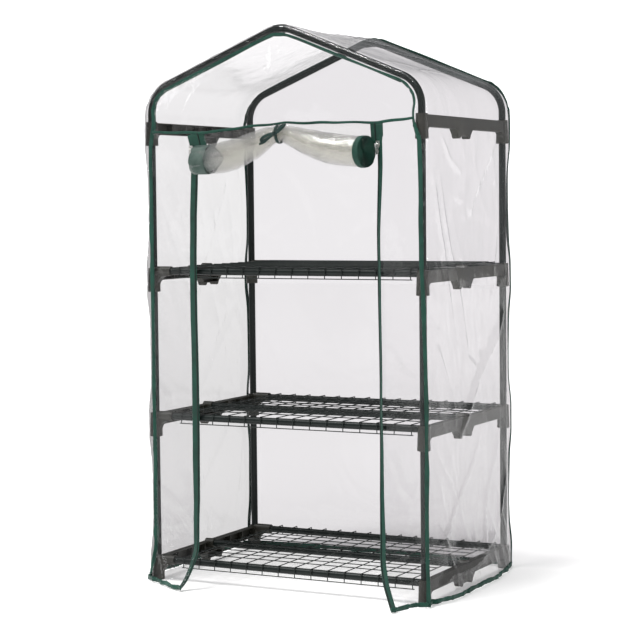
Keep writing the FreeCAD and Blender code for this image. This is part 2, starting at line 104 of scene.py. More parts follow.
def crinkle(u, v, seed, turn=0.0):
    """Small random creases of used film, in metres of height, mean about zero. turn leans their run, in degrees."""
    c, s = math.cos(math.radians(turn)), math.sin(math.radians(turn))
    u, v = u * c + v * s, v * c - u * s
    bend = 0.04 * (lattice(u * 5, v * 5, seed + 7) - 0.5)
    long = ridges((u + bend) * 14, (v - bend) * 4.5 + u * 3, seed)
    cross = ridges((u - bend) * 9 + v * 5, v * 8 - u * 4, seed + 1)
    fine = ridges((u + bend) * 31 + v * 8, v * 17, seed + 2, 3)
    return 0.0016 * (long - 0.2) + 0.0010 * (cross - 0.2) + 0.0004 * (fine - 0.3)


def crease(u, v, points, height, width, lean=0.4):
    """A fold along a broken line: its crest is sharp, and one side is steeper than the other."""
    best = np.full(u.shape, 1e9)
    signed = np.zeros(u.shape)
    along = np.zeros(u.shape)
    lengths = [math.dist(a, b) for a, b in zip(points, points[1:])]
    total = sum(lengths)
    done = 0.0
    for (a, b), length in zip(zip(points, points[1:]), lengths):
        du, dv = (b[0] - a[0]) / length, (b[1] - a[1]) / length
        t = np.clip((u - a[0]) * du + (v - a[1]) * dv, 0, length)
        off_u, off_v = u - a[0] - t * du, v - a[1] - t * dv
        d = np.hypot(off_u, off_v)
        nearer = d < best
        best = np.where(nearer, d, best)
        signed = np.where(nearer, off_u * dv - off_v * du, signed)
        along = np.where(nearer, (done + t) / total, along)
        done += length
    wide = np.where(signed > 0, width, width * lean)
    taper = np.clip(np.minimum(along, 1 - along) * 5, 0, 1) ** 0.7
    return height * taper * np.exp(-best / wide)


# ---------------------------------------------------------------- the gable tube's line
SLOPE_TURN = math.pi / 2 - ROOF_PITCH
eave_x, eave_z = POST_X - EAVE_BEND_R, BEND_Z
slope_start = (eave_x + EAVE_BEND_R * math.cos(SLOPE_TURN), eave_z + EAVE_BEND_R * math.sin(SLOPE_TURN))
apex_z = slope_start[1] + slope_start[0] * math.tan(ROOF_PITCH)
ridge_z = apex_z - RIDGE_BEND_R / math.cos(ROOF_PITCH)
slope_end = (RIDGE_BEND_R * math.cos(SLOPE_TURN), ridge_z + RIDGE_BEND_R * math.sin(SLOPE_TURN))
LEG = BEND_Z
LEG_BEND = LEG + EAVE_BEND_R * SLOPE_TURN
LEG_SLOPE = LEG_BEND + math.dist(slope_start, slope_end)
HALF = LEG_SLOPE + RIDGE_BEND_R * ROOF_PITCH


def tube_line(length):
    """Points and outward directions of the frame's outline, from the left foot (0) to the right foot."""
    length = np.asarray(length, float)
    side = np.where(length < HALF, -1.0, 1.0)
    s = np.minimum(length, 2 * HALF - length)
    turn = np.clip((s - LEG) / EAVE_BEND_R, 0, SLOPE_TURN) + np.clip((s - LEG_SLOPE) / RIDGE_BEND_R, 0, ROOF_PITCH)
    n = np.stack([np.cos(turn), np.sin(turn)], -1)
    on_leg = np.stack([np.full_like(s, POST_X), s], -1)
    on_eave = np.stack([eave_x + EAVE_BEND_R * n[..., 0], eave_z + EAVE_BEND_R * n[..., 1]], -1)
    run = (s - LEG_BEND)[..., None] * np.array([-math.cos(ROOF_PITCH), math.sin(ROOF_PITCH)])
    on_slope = np.array(slope_start) + run
    on_ridge = np.stack([RIDGE_BEND_R * n[..., 0], ridge_z + RIDGE_BEND_R * n[..., 1]], -1)
    pick = [(s <= LEG)[..., None], (s <= LEG_BEND)[..., None], (s <= LEG_SLOPE)[..., None]]
    p = np.select(pick, [on_leg, on_eave, on_slope], on_ridge)
    p[..., 0] *= side
    n = n.copy()
    n[..., 0] *= side
    return p, n, side, s


def near_sleeve(z, reach=0.045):
    """1 beside a bracket's sleeve and 0 far from it."""
    z = np.asarray(z, float)
    found = np.zeros_like(z)
    for low in LEVELS:
        gap = np.maximum(np.maximum(low - z, z - low - SLEEVE_H), 0)
        found = np.maximum(found, np.exp(-(gap / reach) ** 2))
    return found


def seam(length):
    """The cover's front edge: its distance from the tube's axis, and its angle round the tube from outwards to forwards."""
    p, n, side, s = tube_line(length)
    hug = near_sleeve(s)
    foot = np.clip(1 - s / 0.09, 0, 1) ** 1.3
    left_r = 0.0112 + 0.0060 * hug + 0.0072 * foot
    left_a = math.radians(97) + math.radians(8) * hug - math.radians(48) * foot
    high = smooth(0.42, 0.92, s)
    right_r = 0.0166 - 0.0054 * high + (0.0046 + 0.0014 * high) * hug + 0.0180 * foot
    right_a = math.radians(41) + math.radians(3) * hug + math.radians(34) * high + math.radians(6) * foot
    wall_r = np.where(side < 0, left_r, right_r)
    wall_a = np.where(side < 0, left_a, right_a)
    over = smooth(LEVELS[3] - 0.008, LEVELS[3] + 0.052, s)
    beside = near_sleeve(s, 0.02)
    ridge = smooth(LEG_SLOPE - 0.03, HALF, s)
    r = wall_r * (1 - over) + (0.0138 + 0.0045 * beside) * over + 0.0035 * ridge
    angle = wall_a * (1 - over) + math.radians(131) * over
    return r, angle


def back_seam(length):
    p, n, side, s = tube_line(length)
    hug = near_sleeve(s)
    high = smooth(0.62, 0.80, s)
    wall_r = 0.0120 - 0.0003 * high + 0.0062 * hug
    wall_a = np.where(side < 0, math.radians(8), math.radians(38) + math.radians(8) * high)
    over = smooth(LEVELS[3] + 0.046, LEG_BEND - 0.012, s)
    r = wall_r * (1 - over) + 0.0150 * over
    angle = wall_a * (1 - over) + math.radians(48) * over
    return r, angle


def top_off(s, side):
    """How far the film stands off the tube's axis right over the tube."""
    hug = near_sleeve(s)
    wall = np.where(side < 0, 0.0104, 0.0128)
    wall = wall + (0.0163 - wall) * hug
    over = smooth(LEVELS[3] + SLEEVE_H, LEG_BEND, s)
    return wall * (1 - over) + ROOF_OFF * over


# ---------------------------------------------------------------- the film's folds, panel by panel
RIGHT_FOLDS = [
    (((-0.191, 0.983), (-0.160, 0.895), (-0.121, 0.775), (-0.100, 0.696), (-0.048, 0.559), (-0.020, 0.500)), 4.0, 11),
    (((-0.132, 1.011), (-0.077, 0.956), (-0.012, 0.926)), 3.0, 9),
    (((-0.135, 0.930), (-0.080, 0.759), (-0.043, 0.682), (-0.008, 0.603), (0.022, 0.514), (0.078, 0.491)), 4.5, 12),
    (((0.205, 0.830), (0.173, 0.736), (0.159, 0.660), (0.142, 0.610)), 3.0, 9),
    (((0.235, 0.610), (0.196, 0.556), (0.086, 0.471), (0.004, 0.379), (-0.040, 0.335)), 6.5, 14),
    (((-0.147, 0.555), (-0.065, 0.429), (-0.050, 0.370)), 3.5, 10),
    (((0.095, 0.340), (0.027, 0.263), (-0.045, 0.198), (-0.108, 0.140), (-0.180, 0.112)), 4.5, 12),
    (((0.200, 0.355), (0.168, 0.267), (0.124, 0.186), (0.090, 0.063)), 4.0, 11),
    (((0.250, 0.235), (0.218, 0.173), (0.185, 0.115)), 5.0, 12),
    (((-0.170, 0.335), (-0.053, 0.218), (-0.030, 0.195)), 3.5, 10),
    (((0.100, 0.060), (-0.020, 0.048), (-0.117, 0.052), (-0.185, 0.030)), 6.0, 12),
    (((0.180, 0.100), (0.090, 0.075), (0.010, 0.090), (-0.080, 0.105)), 5.0, 12),
    (((0.186, 1.000), (0.125, 0.940), (0.067, 0.877), (0.034, 0.830)), 4.0, 16),
    (((-0.150, 0.170), (-0.110, 0.110), (-0.095, 0.040)), 4.0, 9),
]
LEFT_FOLDS = [
    (((0.190, 0.930), (0.120, 0.800), (0.060, 0.690), (0.020, 0.520)), 4.0, 12),
    (((-0.150, 0.900), (-0.060, 0.760), (0.010, 0.640), (0.050, 0.540)), 4.0, 12),
    (((0.210, 0.620), (0.110, 0.520), (0.020, 0.400)), 4.5, 12),
    (((-0.160, 0.560), (-0.100, 0.430), (-0.060, 0.330), (-0.020, 0.200)), 4.0, 11),
    (((0.180, 0.330), (0.080, 0.240), (-0.020, 0.120)), 4.0, 11),
    (((-0.170, 0.250), (-0.100, 0.160), (0.000, 0.070)), 4.0, 12),
]
FRONT_FOLDS = [
    (((-0.345, 0.250), (-0.310, 0.205), (-0.270, 0.175), (-0.235, 0.190)), 3.5, 9),
    (((-0.330, 0.140), (-0.290, 0.130), (-0.240, 0.150)), 3.0, 8),
    (((-0.340, 0.090), (-0.300, 0.050), (-0.280, 0.010)), 4.5, 8),
    (((-0.330, 0.110), (-0.280, 0.080), (-0.255, 0.030)), 4.0, 9),
    (((-0.325, 0.760), (-0.290, 0.690), (-0.265, 0.600)), 2.2, 10),
    (((-0.250, 0.900), (-0.285, 0.800), (-0.300, 0.700)), 2.2, 10),
    (((-0.335, 0.480), (-0.300, 0.430), (-0.280, 0.350)), 2.2, 10),
    (((0.260, 0.960), (0.285, 0.820), (0.300, 0.700)), 2.2, 10),
    (((0.255, 0.560), (0.290, 0.500), (0.330, 0.480)), 2.6, 9),
    (((0.262, 0.330), (0.290, 0.255), (0.335, 0.215)), 3.2, 10),
    (((0.330, 0.270), (0.300, 0.170), (0.290, 0.080)), 3.5, 9),
    (((0.345, 0.115), (0.310, 0.070), (0.290, 0.020)), 4.5, 8),
    (((0.340, 0.060), (0.300, 0.055), (0.260, 0.090)), 3.5, 8),
    (((-0.020, 1.215), (-0.012, 1.130), (-0.018, 1.050)), 1.6, 10),
    (((-0.250, 1.050), (-0.225, 1.100), (-0.190, 1.140)), 2.0, 10),
    (((0.210, 1.130), (0.250, 1.080), (0.300, 1.050)), 2.0, 9),
    (((0.080, 1.060), (0.100, 1.110), (0.130, 1.150)), 1.6, 9),
]
BACK_FOLDS = [
    (((-0.250, 0.950), (-0.180, 0.820), (-0.150, 0.640)), 3.0, 12),
    (((-0.310, 0.560), (-0.250, 0.430), (-0.180, 0.350)), 3.5, 12),
    (((0.250, 0.940), (0.190, 0.800), (0.170, 0.620)), 3.0, 12),
    (((0.300, 0.540), (0.230, 0.400), (0.200, 0.280)), 3.5, 12),
    (((-0.120, 0.240), (-0.050, 0.150), (0.060, 0.110)), 3.0, 11),
    (((0.020, 1.180), (0.015, 1.050), (0.030, 0.900)), 2.0, 14),
    (((-0.300, 0.120), (-0.200, 0.090), (-0.120, 0.030)), 3.5, 10),
    (((0.310, 0.180), (0.240, 0.090), (0.200, 0.030)), 3.5, 10),
]
ROOF_FOLDS = [      # y, distance up the slope from the eave
    (((-0.150, -0.02), (-0.072, 0.02), (-0.011, 0.03), (0.080, 0.010)), 3.0, 9),
    (((-0.185, 0.060), (-0.090, 0.075), (0.010, 0.060)), 2.5, 9),
    (((-0.190, 0.330), (-0.060, 0.315), (0.090, 0.318), (0.255, 0.300)), 4.0, 9),
    (((0.050, 0.345), (0.120, 0.280), (0.250, 0.215)), 3.0, 9),
    (((0.060, 0.250), (0.160, 0.180), (0.255, 0.120)), 2.5, 9),
    (((-0.180, 0.220), (-0.080, 0.180), (0.040, 0.170)), 2.0, 10),
]


def folded(u, v, folds, seed, small=1.0, turn=0.0, sharp=1.0):
    total = small * crinkle(u, v, seed, turn)
    for points, height, width in folds:
        total = total + crease(u, v, points, sharp * height / 1000, width / sharp / 1000)
    return total


# how far the side film's foot stands out of the wall's plane, along the wall
SIDE_FLARE = np.array([(-0.189, 0.010), (-0.135, 0.0250), (-0.080, 0.0265), (-0.016, 0.0265), (0.060, 0.0260),
                       (0.137, 0.0230), (0.200, 0.014), (0.264, 0.001)])


def wall_shape(y, z, side):
    """Distance of a side wall from its CAD plane."""
    slack = 0.5 + 0.5 * np.cos(2 * math.pi * (z - LEVELS[0] - SLEEVE_H / 2) / (LEVELS[1] - LEVELS[0]))
    billow = -0.004 * (1 - slack) * np.sin(math.pi * np.clip((y - FRONT_Y) / (BACK_Y - FRONT_Y), 0, 1))
    wave = 0.0008 * np.sin(2 * math.pi * (y / 0.16 + 0.35 * z)) * (1 - 0.6 * slack)
    foot = np.clip(1 - z / 0.20, 0, 1) ** 1.7
    flare = np.interp(y, SIDE_FLARE[:, 0], SIDE_FLARE[:, 1]) * foot
    right = folded(y, z, RIGHT_FOLDS, 11, 0.85, 20, 1.2)
    left = folded(y, z, LEFT_FOLDS, 23, 0.8, 20)
    folds = np.where(side > 0, right, left)
    ripple = 0.001 * foot * np.sin(2 * math.pi * (y / 0.11 + 0.2))
    return np.where(side > 0, flare, 0.62 * flare), billow + wave + folds + ripple


# ---------------------------------------------------------------- mesh helpers
def mesh_object(name, points, faces, material, body, uv=None, smooth_shading=True):
    mesh = bpy.data.meshes.new(name)
    mesh.from_pydata([tuple(p) for p in points], [], [tuple(f) for f in faces])
    mesh.validate()
    if smooth_shading:
        mesh.polygons.foreach_set("use_smooth", [True] * len(mesh.polygons))
    if uv is not None:
        layer = mesh.uv_layers.new(name="UVMap")
        corner = np.zeros(len(mesh.loops), dtype=int)
        mesh.loops.foreach_get("vertex_index", corner)
        layer.data.foreach_set("uv", np.asarray(uv, float)[corner].ravel())
    mesh.materials.append(material)
    made = bpy.data.objects.new(name, mesh)
    bpy.context.scene.collection.objects.link(made)
    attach(made, body)
    return made


def grid_faces(rows, columns, keep=None):
    faces = []
    for i in range(rows - 1):
        for j in range(columns - 1):
            if keep is None or keep[i, j]:
                a = i * columns + j
                faces.append((a, a + 1, a + columns + 1, a + columns))
    return faces


def compact(points, faces):
    """Drops the points that no face uses."""
    used = sorted({i for face in faces for i in face})
    place = {old: new for new, old in enumerate(used)}
    return points[used], [tuple(place[i] for i in face) for face in faces], used


def rounded_section(width, thick, count=14, centre=0.0):
    """A flattened oval, as (across, outwards) points."""
    points = []
    for k in range(count):
        angle = 2 * math.pi * k / count
        c, s = math.cos(angle), math.sin(angle)
        across = math.copysign(abs(c) ** 0.6, c) * width / 2 + centre
        out = math.copysign(abs(s) ** 0.8, s) * thick / 2
        points.append((across, out))
    return np.array(points)


def sweep(name, path, out, section, material, body, closed=False, scale=None):
    """A strip of one section along a path. out is the direction that the strip's face looks in."""
    path, out = np.asarray(path, float), np.asarray(out, float)
    if closed:
        along = np.roll(path, -1, 0) - np.roll(path, 1, 0)
    else:
        along = np.gradient(path, axis=0)
    along /= np.linalg.norm(along, axis=1)[:, None] + 1e-12
    out = out - (out * along).sum(1)[:, None] * along
    out /= np.linalg.norm(out, axis=1)[:, None] + 1e-12
    across = np.cross(along, out)
    size = np.ones(len(path)) if scale is None else np.asarray(scale, float)
    points = (path[:, None, :] + across[:, None, :] * section[None, :, :1] * size[:, None, None]
              + out[:, None, :] * section[None, :, 1:])
    rows, columns = points.shape[:2]
    run = np.concatenate([[0], np.cumsum(np.linalg.norm(np.diff(path, axis=0), axis=1))])
    uv = np.stack([np.repeat(run, columns), np.tile(section[:, 0], rows)], -1)
    faces = []
    for i in range(rows if closed else rows - 1):
        for j in range(columns):
            a, b = i * columns + j, i * columns + (j + 1) % columns
            c, d = ((i + 1) % rows) * columns + (j + 1) % columns, ((i + 1) % rows) * columns + j
            faces.append((a, d, c, b))
    if not closed:
        faces.append(tuple(range(columns)))
        faces.append(tuple(range((rows - 1) * columns, rows * columns))[::-1])
    return mesh_object(name, points.reshape(-1, 3), faces, material, body, uv)


def even(path, pitch):
    """The same line with points at an even pitch."""
    path = np.asarray(path, float)
    run = np.concatenate([[0], np.cumsum(np.linalg.norm(np.diff(path, axis=0), axis=1))])
    count = max(2, int(run[-1] / pitch) + 1)
    at = np.linspace(0, run[-1], count)
    return np.stack([np.interp(at, run, path[:, k]) for k in range(path.shape[1])], -1)


def soften(path, passes):
    path = np.array(path, float)
    for _ in range(passes):
        path[1:-1] = 0.25 * path[:-2] + 0.5 * path[1:-1] + 0.25 * path[2:]
    return path


# ---------------------------------------------------------------- materials
def new_material(name):
    made = bpy.data.materials.new(name)
    made.use_nodes = True
    tree = made.node_tree
    return made, tree, tree.nodes["Principled BSDF"]


def add(tree, kind, **settings):
    node = tree.nodes.new(kind)
    for key, value in settings.items():
        if key in node.inputs:
            node.inputs[key].default_value = value
        else:
            setattr(node, key.lower(), value)
    return node


def noise(tree, scale, detail=3.0, roughness=0.5, stretch=None, distortion=0.0):
    place = tree.nodes.new("ShaderNodeTexCoord")
    source = place.outputs["Object"]
    if stretch is not None:
        mapping = tree.nodes.new("ShaderNodeMapping")
        mapping.inputs["Scale"].default_value = stretch
        tree.links.new(source, mapping.inputs["Vector"])
        source = mapping.outputs["Vector"]
    node = add(tree, "ShaderNodeTexNoise", Scale=scale, Detail=detail, Roughness=roughness, Distortion=distortion)
    tree.links.new(source, node.inputs["Vector"])
    return node.outputs["Fac"]


def ramp(tree, source, stops):
    node = tree.nodes.new("ShaderNodeValToRGB")
    elements = node.color_ramp.elements
    while len(elements) < len(stops):
        elements.new(0.5)
    for element, (place, colour) in zip(elements, stops):
        element.position = place
        element.color = (*colour, 1)
    tree.links.new(source, node.inputs["Fac"])
    return node.outputs["Color"]


def scaled(tree, source, low, high):
    node = tree.nodes.new("ShaderNodeMapRange")
    node.inputs["To Min"].default_value = low
    node.inputs["To Max"].default_value = high
    tree.links.new(source, node.inputs["Value"])
    return node.outputs["Result"]


def bump(tree, source, distance, strength=1.0, below=None):
    node = tree.nodes.new("ShaderNodeBump")
    node.inputs["Strength"].default_value = strength
    node.inputs["Distance"].default_value = distance
    tree.links.new(source, node.inputs["Height"])
    if below is not None:
        tree.links.new(below, node.inputs["Normal"])
    return node.outputs["Normal"]


def coated_steel(name, dark, light, rough):
    made, tree, shader = new_material(name)
    patch = noise(tree, 7.0, 4.0)
    tree.links.new(ramp(tree, patch, [(0.30, dark), (0.72, light)]), shader.inputs["Base Color"])
    tree.links.new(scaled(tree, noise(tree, 55.0, 3.0), rough - 0.06, rough + 0.08), shader.inputs["Roughness"])
    peel = bump(tree, noise(tree, 620.0, 2.0), 0.00012, 0.55)
    tree.links.new(peel, shader.inputs["Normal"])
    shader.inputs["Specular IOR Level"].default_value = 0.24
    shader.inputs["Coat Weight"].default_value = 0.06
    shader.inputs["Coat Roughness"].default_value = 0.22
    return made


def moulded_plastic(name):
    made, tree, shader = new_material(name)
    tone = ramp(tree, noise(tree, 16.0, 4.0, stretch=(1.0, 1.0, 0.35)),
                [(0.28, (0.016, 0.016, 0.012)), (0.74, (0.032, 0.031, 0.023))])
    tree.links.new(tone, shader.inputs["Base Color"])
    tree.links.new(scaled(tree, noise(tree, 90.0), 0.34, 0.52), shader.inputs["Roughness"])
    grain = bump(tree, noise(tree, 1400.0, 1.0), 0.00010, 0.5)
    wavy = bump(tree, noise(tree, 22.0, 1.0), 0.0006, 0.5, grain)
    tree.links.new(wavy, shader.inputs["Normal"])
    shader.inputs["Specular IOR Level"].default_value = 0.5
    return made


def woven_tape(name, dark, light, stitched=True):
    """Folded green tape: a plain weave across its run, and a row of stitches near one edge."""
    made, tree, shader = new_material(name)
    place = tree.nodes.new("ShaderNodeTexCoord")
    split = tree.nodes.new("ShaderNodeSeparateXYZ")
    tree.links.new(place.outputs["UV"], split.inputs["Vector"])

    def math_node(operation, a, b=None):
        node = tree.nodes.new("ShaderNodeMath")
        node.operation = operation
        for socket, value in zip(node.inputs, (a, b)):
            if value is None:
                continue
            if isinstance(value, float):
                socket.default_value = value
            else:
                tree.links.new(value, socket)
        return node.outputs["Value"]

    warp = math_node("SINE", math_node("MULTIPLY", split.outputs["X"], 2 * math.pi / 0.0011))
    weft = math_node("SINE", math_node("MULTIPLY", split.outputs["Y"], 2 * math.pi / 0.0011))
    weave = math_node("MULTIPLY", warp, weft)
    patch = noise(tree, 38.0, 4.0)
    colour = ramp(tree, patch, [(0.30, dark), (0.70, light)])
    tree.links.new(colour, shader.inputs["Base Color"])
    tree.links.new(scaled(tree, noise(tree, 70.0), 0.42, 0.66), shader.inputs["Roughness"])
    height = bump(tree, weave, 0.00018, 0.6)
    crumple = bump(tree, noise(tree, 75.0, 3.0), 0.0014, 0.5, height)
    last = crumple
    if stitched:
        dash = math_node("SINE", math_node("MULTIPLY", split.outputs["X"], 2 * math.pi / 0.0042))
        beside = math_node("ABSOLUTE", math_node("ADD", split.outputs["Y"], -0.0022))
        inside = math_node("LESS_THAN", beside, 0.0006)
        dashed = math_node("MULTIPLY", math_node("GREATER_THAN", dash, -0.35), inside)
        last = bump(tree, dashed, 0.0005, 0.8, crumple)
    tree.links.new(last, shader.inputs["Normal"])
    shader.inputs["Sheen Weight"].default_value = 0.10
    shader.inputs["Sheen Roughness"].default_value = 0.4
    shader.inputs["Specular IOR Level"].default_value = 0.32
    return made


def clear_film(name, tint, haze, gloss, crumple, up, across=((0.0, 1.0), (1.0, 1.0)), run=(1.0, 1.0, 0.30)):
    """Clear sheet: light goes straight through with a slight tint, and both faces mirror a little.

    The tint deepens where the sheet is seen edge-on, as in the crest of a fold. up and across are painted shade: they
    darken the tint at shares of the cover's height and width, standing in for the shaded inside seen through the sheet.
    tint is the sheet's own colour, and in the back sheet it is also painted shade. run is the creases' stretch.
    """
    made, tree, shader = new_material(name)
    shader.inputs["Base Color"].default_value = (0.93, 0.935, 0.94, 1)
    shader.inputs["Metallic"].default_value = 1.0
    soft = noise(tree, 10.0, 5.0, 0.55, run, 0.6)
    crisp = noise(tree, 42.0, 4.0, 0.6, run, 1.2)
    low = bump(tree, soft, 0.010 * crumple, 0.55)
    normal = bump(tree, crisp, 0.0022 * crumple, 0.45, low)
    tree.links.new(normal, shader.inputs["Normal"])
    tree.links.new(scaled(tree, noise(tree, 30.0), 0.05, 0.14), shader.inputs["Roughness"])

    facing = tree.nodes.new("ShaderNodeLayerWeight")
    facing.inputs["Blend"].default_value = 0.5
    tree.links.new(normal, facing.inputs["Normal"])
    edge = tree.nodes.new("ShaderNodeMath")
    edge.operation = "POWER"
    edge.inputs[1].default_value = 6.0
    tree.links.new(facing.outputs["Facing"], edge.inputs[0])
    through = ramp(tree, edge.outputs["Value"], [(0.0, tint), (1.0, tuple(0.80 * c for c in tint))])
    place = tree.nodes.new("ShaderNodeTexCoord")
    split = tree.nodes.new("ShaderNodeSeparateXYZ")
    tree.links.new(place.outputs["Object"], split.inputs["Vector"])
    # painted shade: the tint is darkened by height (up) and by width (across)
    for socket, low, high, stops in (("Z", 0.0, 1.25, up), ("X", -0.36, 0.36, across)):
        share = tree.nodes.new("ShaderNodeMapRange")
        share.inputs["From Min"].default_value = low
        share.inputs["From Max"].default_value = high
        tree.links.new(split.outputs[socket], share.inputs["Value"])
        painted_shade = ramp(tree, share.outputs["Result"], [(at, (amount,) * 3) for at, amount in stops])
        both = tree.nodes.new("ShaderNodeMix")
        both.data_type = "RGBA"
        both.blend_type = "MULTIPLY"
        both.inputs["Factor"].default_value = 1.0
        tree.links.new(through, both.inputs["A_Color"] if "A_Color" in both.inputs else both.inputs[6])
        tree.links.new(painted_shade, both.inputs["B_Color"] if "B_Color" in both.inputs else both.inputs[7])
        through = both.outputs[2]
    clear = tree.nodes.new("ShaderNodeBsdfTransparent")
    tree.links.new(through, clear.inputs["Color"])

    grazing = tree.nodes.new("ShaderNodeMath")
    grazing.operation = "POWER"
    grazing.inputs[1].default_value = 5.0
    tree.links.new(facing.outputs["Facing"], grazing.inputs[0])
    share = tree.nodes.new("ShaderNodeMath")
    share.operation = "MULTIPLY_ADD"
    share.use_clamp = True
    share.inputs[1].default_value = 0.45 * gloss
    share.inputs[2].default_value = 0.022 * gloss
    tree.links.new(grazing.outputs["Value"], share.inputs[0])
    mirror = tree.nodes.new("ShaderNodeMixShader")
    tree.links.new(share.outputs["Value"], mirror.inputs["Fac"])
    tree.links.new(clear.outputs["BSDF"], mirror.inputs[1])
    tree.links.new(shader.outputs["BSDF"], mirror.inputs[2])

    dust = tree.nodes.new("ShaderNodeBsdfDiffuse")
    dust.inputs["Color"].default_value = (0.82, 0.815, 0.83, 1)
    cloudy = tree.nodes.new("ShaderNodeMixShader")
    patchy = scaled(tree, noise(tree, 5.0, 3.0), 0.4 * haze, 1.6 * haze)
    tree.links.new(patchy, cloudy.inputs["Fac"])
    tree.links.new(mirror.outputs["Shader"], cloudy.inputs[1])
    tree.links.new(dust.outputs["BSDF"], cloudy.inputs[2])
    tree.links.new(cloudy.outputs["Shader"], tree.nodes["Material Output"].inputs["Surface"])
    return made


def plated_metal(name):
    made, tree, shader = new_material(name)
    shader.inputs["Base Color"].default_value = (0.78, 0.77, 0.74, 1)
    shader.inputs["Metallic"].default_value = 1.0
    tree.links.new(scaled(tree, noise(tree, 180.0, 3.0), 0.18, 0.38), shader.inputs["Roughness"])
    tree.links.new(bump(tree, noise(tree, 900.0, 2.0), 0.00008, 0.4), shader.inputs["Normal"])
    return made


TUBE = coated_steel("tube_powder_coat", (0.004, 0.0075, 0.0065), (0.009, 0.014, 0.0125), 0.34)
WIRE = coated_steel("wire_powder_coat", (0.008, 0.012, 0.011), (0.016, 0.021, 0.019), 0.40)
PLASTIC = moulded_plastic("bracket_moulded_plastic")
GREEN = woven_tape("green_binding_tape", (0.003, 0.040, 0.026), (0.007, 0.070, 0.046))
GREEN_PLAIN = woven_tape("green_zip_tape", (0.003, 0.034, 0.022), (0.006, 0.058, 0.038), False)
# painted reflection: the door's left tape has its green lightened to a pale grey-green, standing in for the film wound
# over it
GREEN_PAINTED_REFLECTION = woven_tape("green_tape_painted_reflection", (0.020, 0.050, 0.040), (0.090, 0.130, 0.112), False)
TEETH = coated_steel("zip_coil", (0.006, 0.012, 0.010), (0.012, 0.022, 0.018), 0.34)
RIBBON = woven_tape("dark_green_ribbon", (0.003, 0.016, 0.013), (0.006, 0.032, 0.026), False)
# painted shade: the wrap's tint is darker towards the floor and across its left half, standing in for the shaded inside
# seen through it
FILM = clear_film("clear_film_wrap", (0.985, 0.975, 0.981), 0.006, 1.5, 0.9,
                  ((0.05, 0.76), (0.28, 0.83), (0.50, 0.94), (0.78, 1.0)),
                  ((0.02, 0.65), (0.10, 0.70), (0.25, 0.76), (0.485, 0.80), (0.515, 1.0)))
# painted shade: the back sheet's deep grey tint and its darker foot stand in for the shaded inside seen through it; the
# film's own tint is slight
FILM_BACK_PAINTED_SHADE = clear_film("clear_film_back_painted_shade", (0.618, 0.605, 0.617), 0.010, 1.0, 0.45,
                       ((0.05, 0.86), (0.25, 0.93), (0.40, 1.0), (1.0, 1.0)))
# painted shade: the front sheet's tint is darker towards the floor, standing in for the shaded inside seen through it
FILM_FRONT = clear_film("clear_film_front", (0.975, 0.970, 0.975), 0.004, 1.2, 0.9,
                        ((0.05, 0.90), (0.35, 0.94), (0.60, 1.0)))
FILM_ROLLED = clear_film("clear_film_rolled", (0.955, 0.953, 0.940), 0.055, 1.4, 3.0, ((0.0, 1.0), (1.0, 1.0)),
                         run=(0.16, 1.0, 1.0))
METAL = plated_metal("plated_zip_metal")

for name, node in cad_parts.items():
    look = None
    if name.startswith(("post_", "roof_bow_", "crossbar_")):
        look = TUBE
    elif name.startswith("bracket_"):
        look = PLASTIC
    elif name.startswith("shelf_mesh_"):
        look = WIRE
    elif name.startswith(("zip_slider", "zip_pull")):
        look = METAL
    if look is not None:
        if not node.material_slots:
            node.data.materials.append(look)
        for slot in node.material_slots:
            slot.material = look

# ---------------------------------------------------------------- the wrap: left side, roof and right side in one sheet
row_count = int(2 * HALF / STEP) + 1
rows = np.linspace(0, 2 * HALF, row_count)
line_p, line_n, line_side, line_s = tube_line(rows)
seam_r, seam_a = seam(rows)
back_r, back_a = back_seam(rows)
over_tube = top_off(line_s, line_side)
wallness = 1 - smooth(LEVELS[3] + SLEEVE_H, LEG_BEND, line_s)
base_off = ROOF_OFF + (WALL_OFF - ROOF_OFF) * wallness

columns = []
for k in range(ARC_COLUMNS):
    part = 1 - k / ARC_COLUMNS
    angle = seam_a * part
    r = over_tube + (seam_r - over_tube) * part ** 2
    r = r + 0.0016 * (lattice(line_s * 75, np.full(row_count, 0.9 * k), 63) - 0.4) * (k > 0)
    columns.append((r * np.cos(angle), FRONT_Y - r * np.sin(angle)))
span = BACK_Y - FRONT_Y
straight = int(span / STEP)
for k in range(straight + 1):
    y = FRONT_Y + span * k / straight
    from_front, from_back = y - FRONT_Y, BACK_Y - y
    front_reach = np.where(line_side < 0, 0.075, 0.035)
    hold = np.exp(-from_front / front_reach) + np.exp(-from_back / 0.035)
    free = smooth(0, 1, from_front / front_reach * 0.8) * smooth(0, 0.03, from_back)
    y_here = np.full(row_count, y)
    flare, wall = wall_shape(y_here, line_s, line_side)
    up_slope = line_s - LEG_BEND
    sag = -0.007 * math.sin(math.pi * k / straight) * smooth(-0.02, 0.14, up_slope)
    roof = sag + folded(y_here, up_slope + 0.5 * (line_side < 0), ROOF_FOLDS, 37, 0.35)
    crumple = 0.006 * (ridges(line_s * 24 + y * 30, y_here * 26, 83, 3) - 0.3) * np.clip(1 - line_s / 0.15, 0, 1)
    near_front = math.exp(-from_front / 0.05)
    wall = wall + crumple * (0.4 + near_front)
    off = base_off + (over_tube - base_off) * hold + free * (wall * wallness + roof * (1 - wallness))
    beside_beam = near_sleeve(line_s, 0.012) * wallness
    off = np.maximum(off, 0.0104 * beside_beam + 0.0015 * (1 - beside_beam) - 0.03 * (1 - wallness))
    columns.append((off + flare * wallness, y_here))
for k in range(ARC_COLUMNS):
    part = (k + 1) / ARC_COLUMNS
    angle = back_a * part
    r = over_tube + (back_r - over_tube) * part ** 2
    columns.append((r * np.cos(angle), BACK_Y + r * np.sin(angle)))

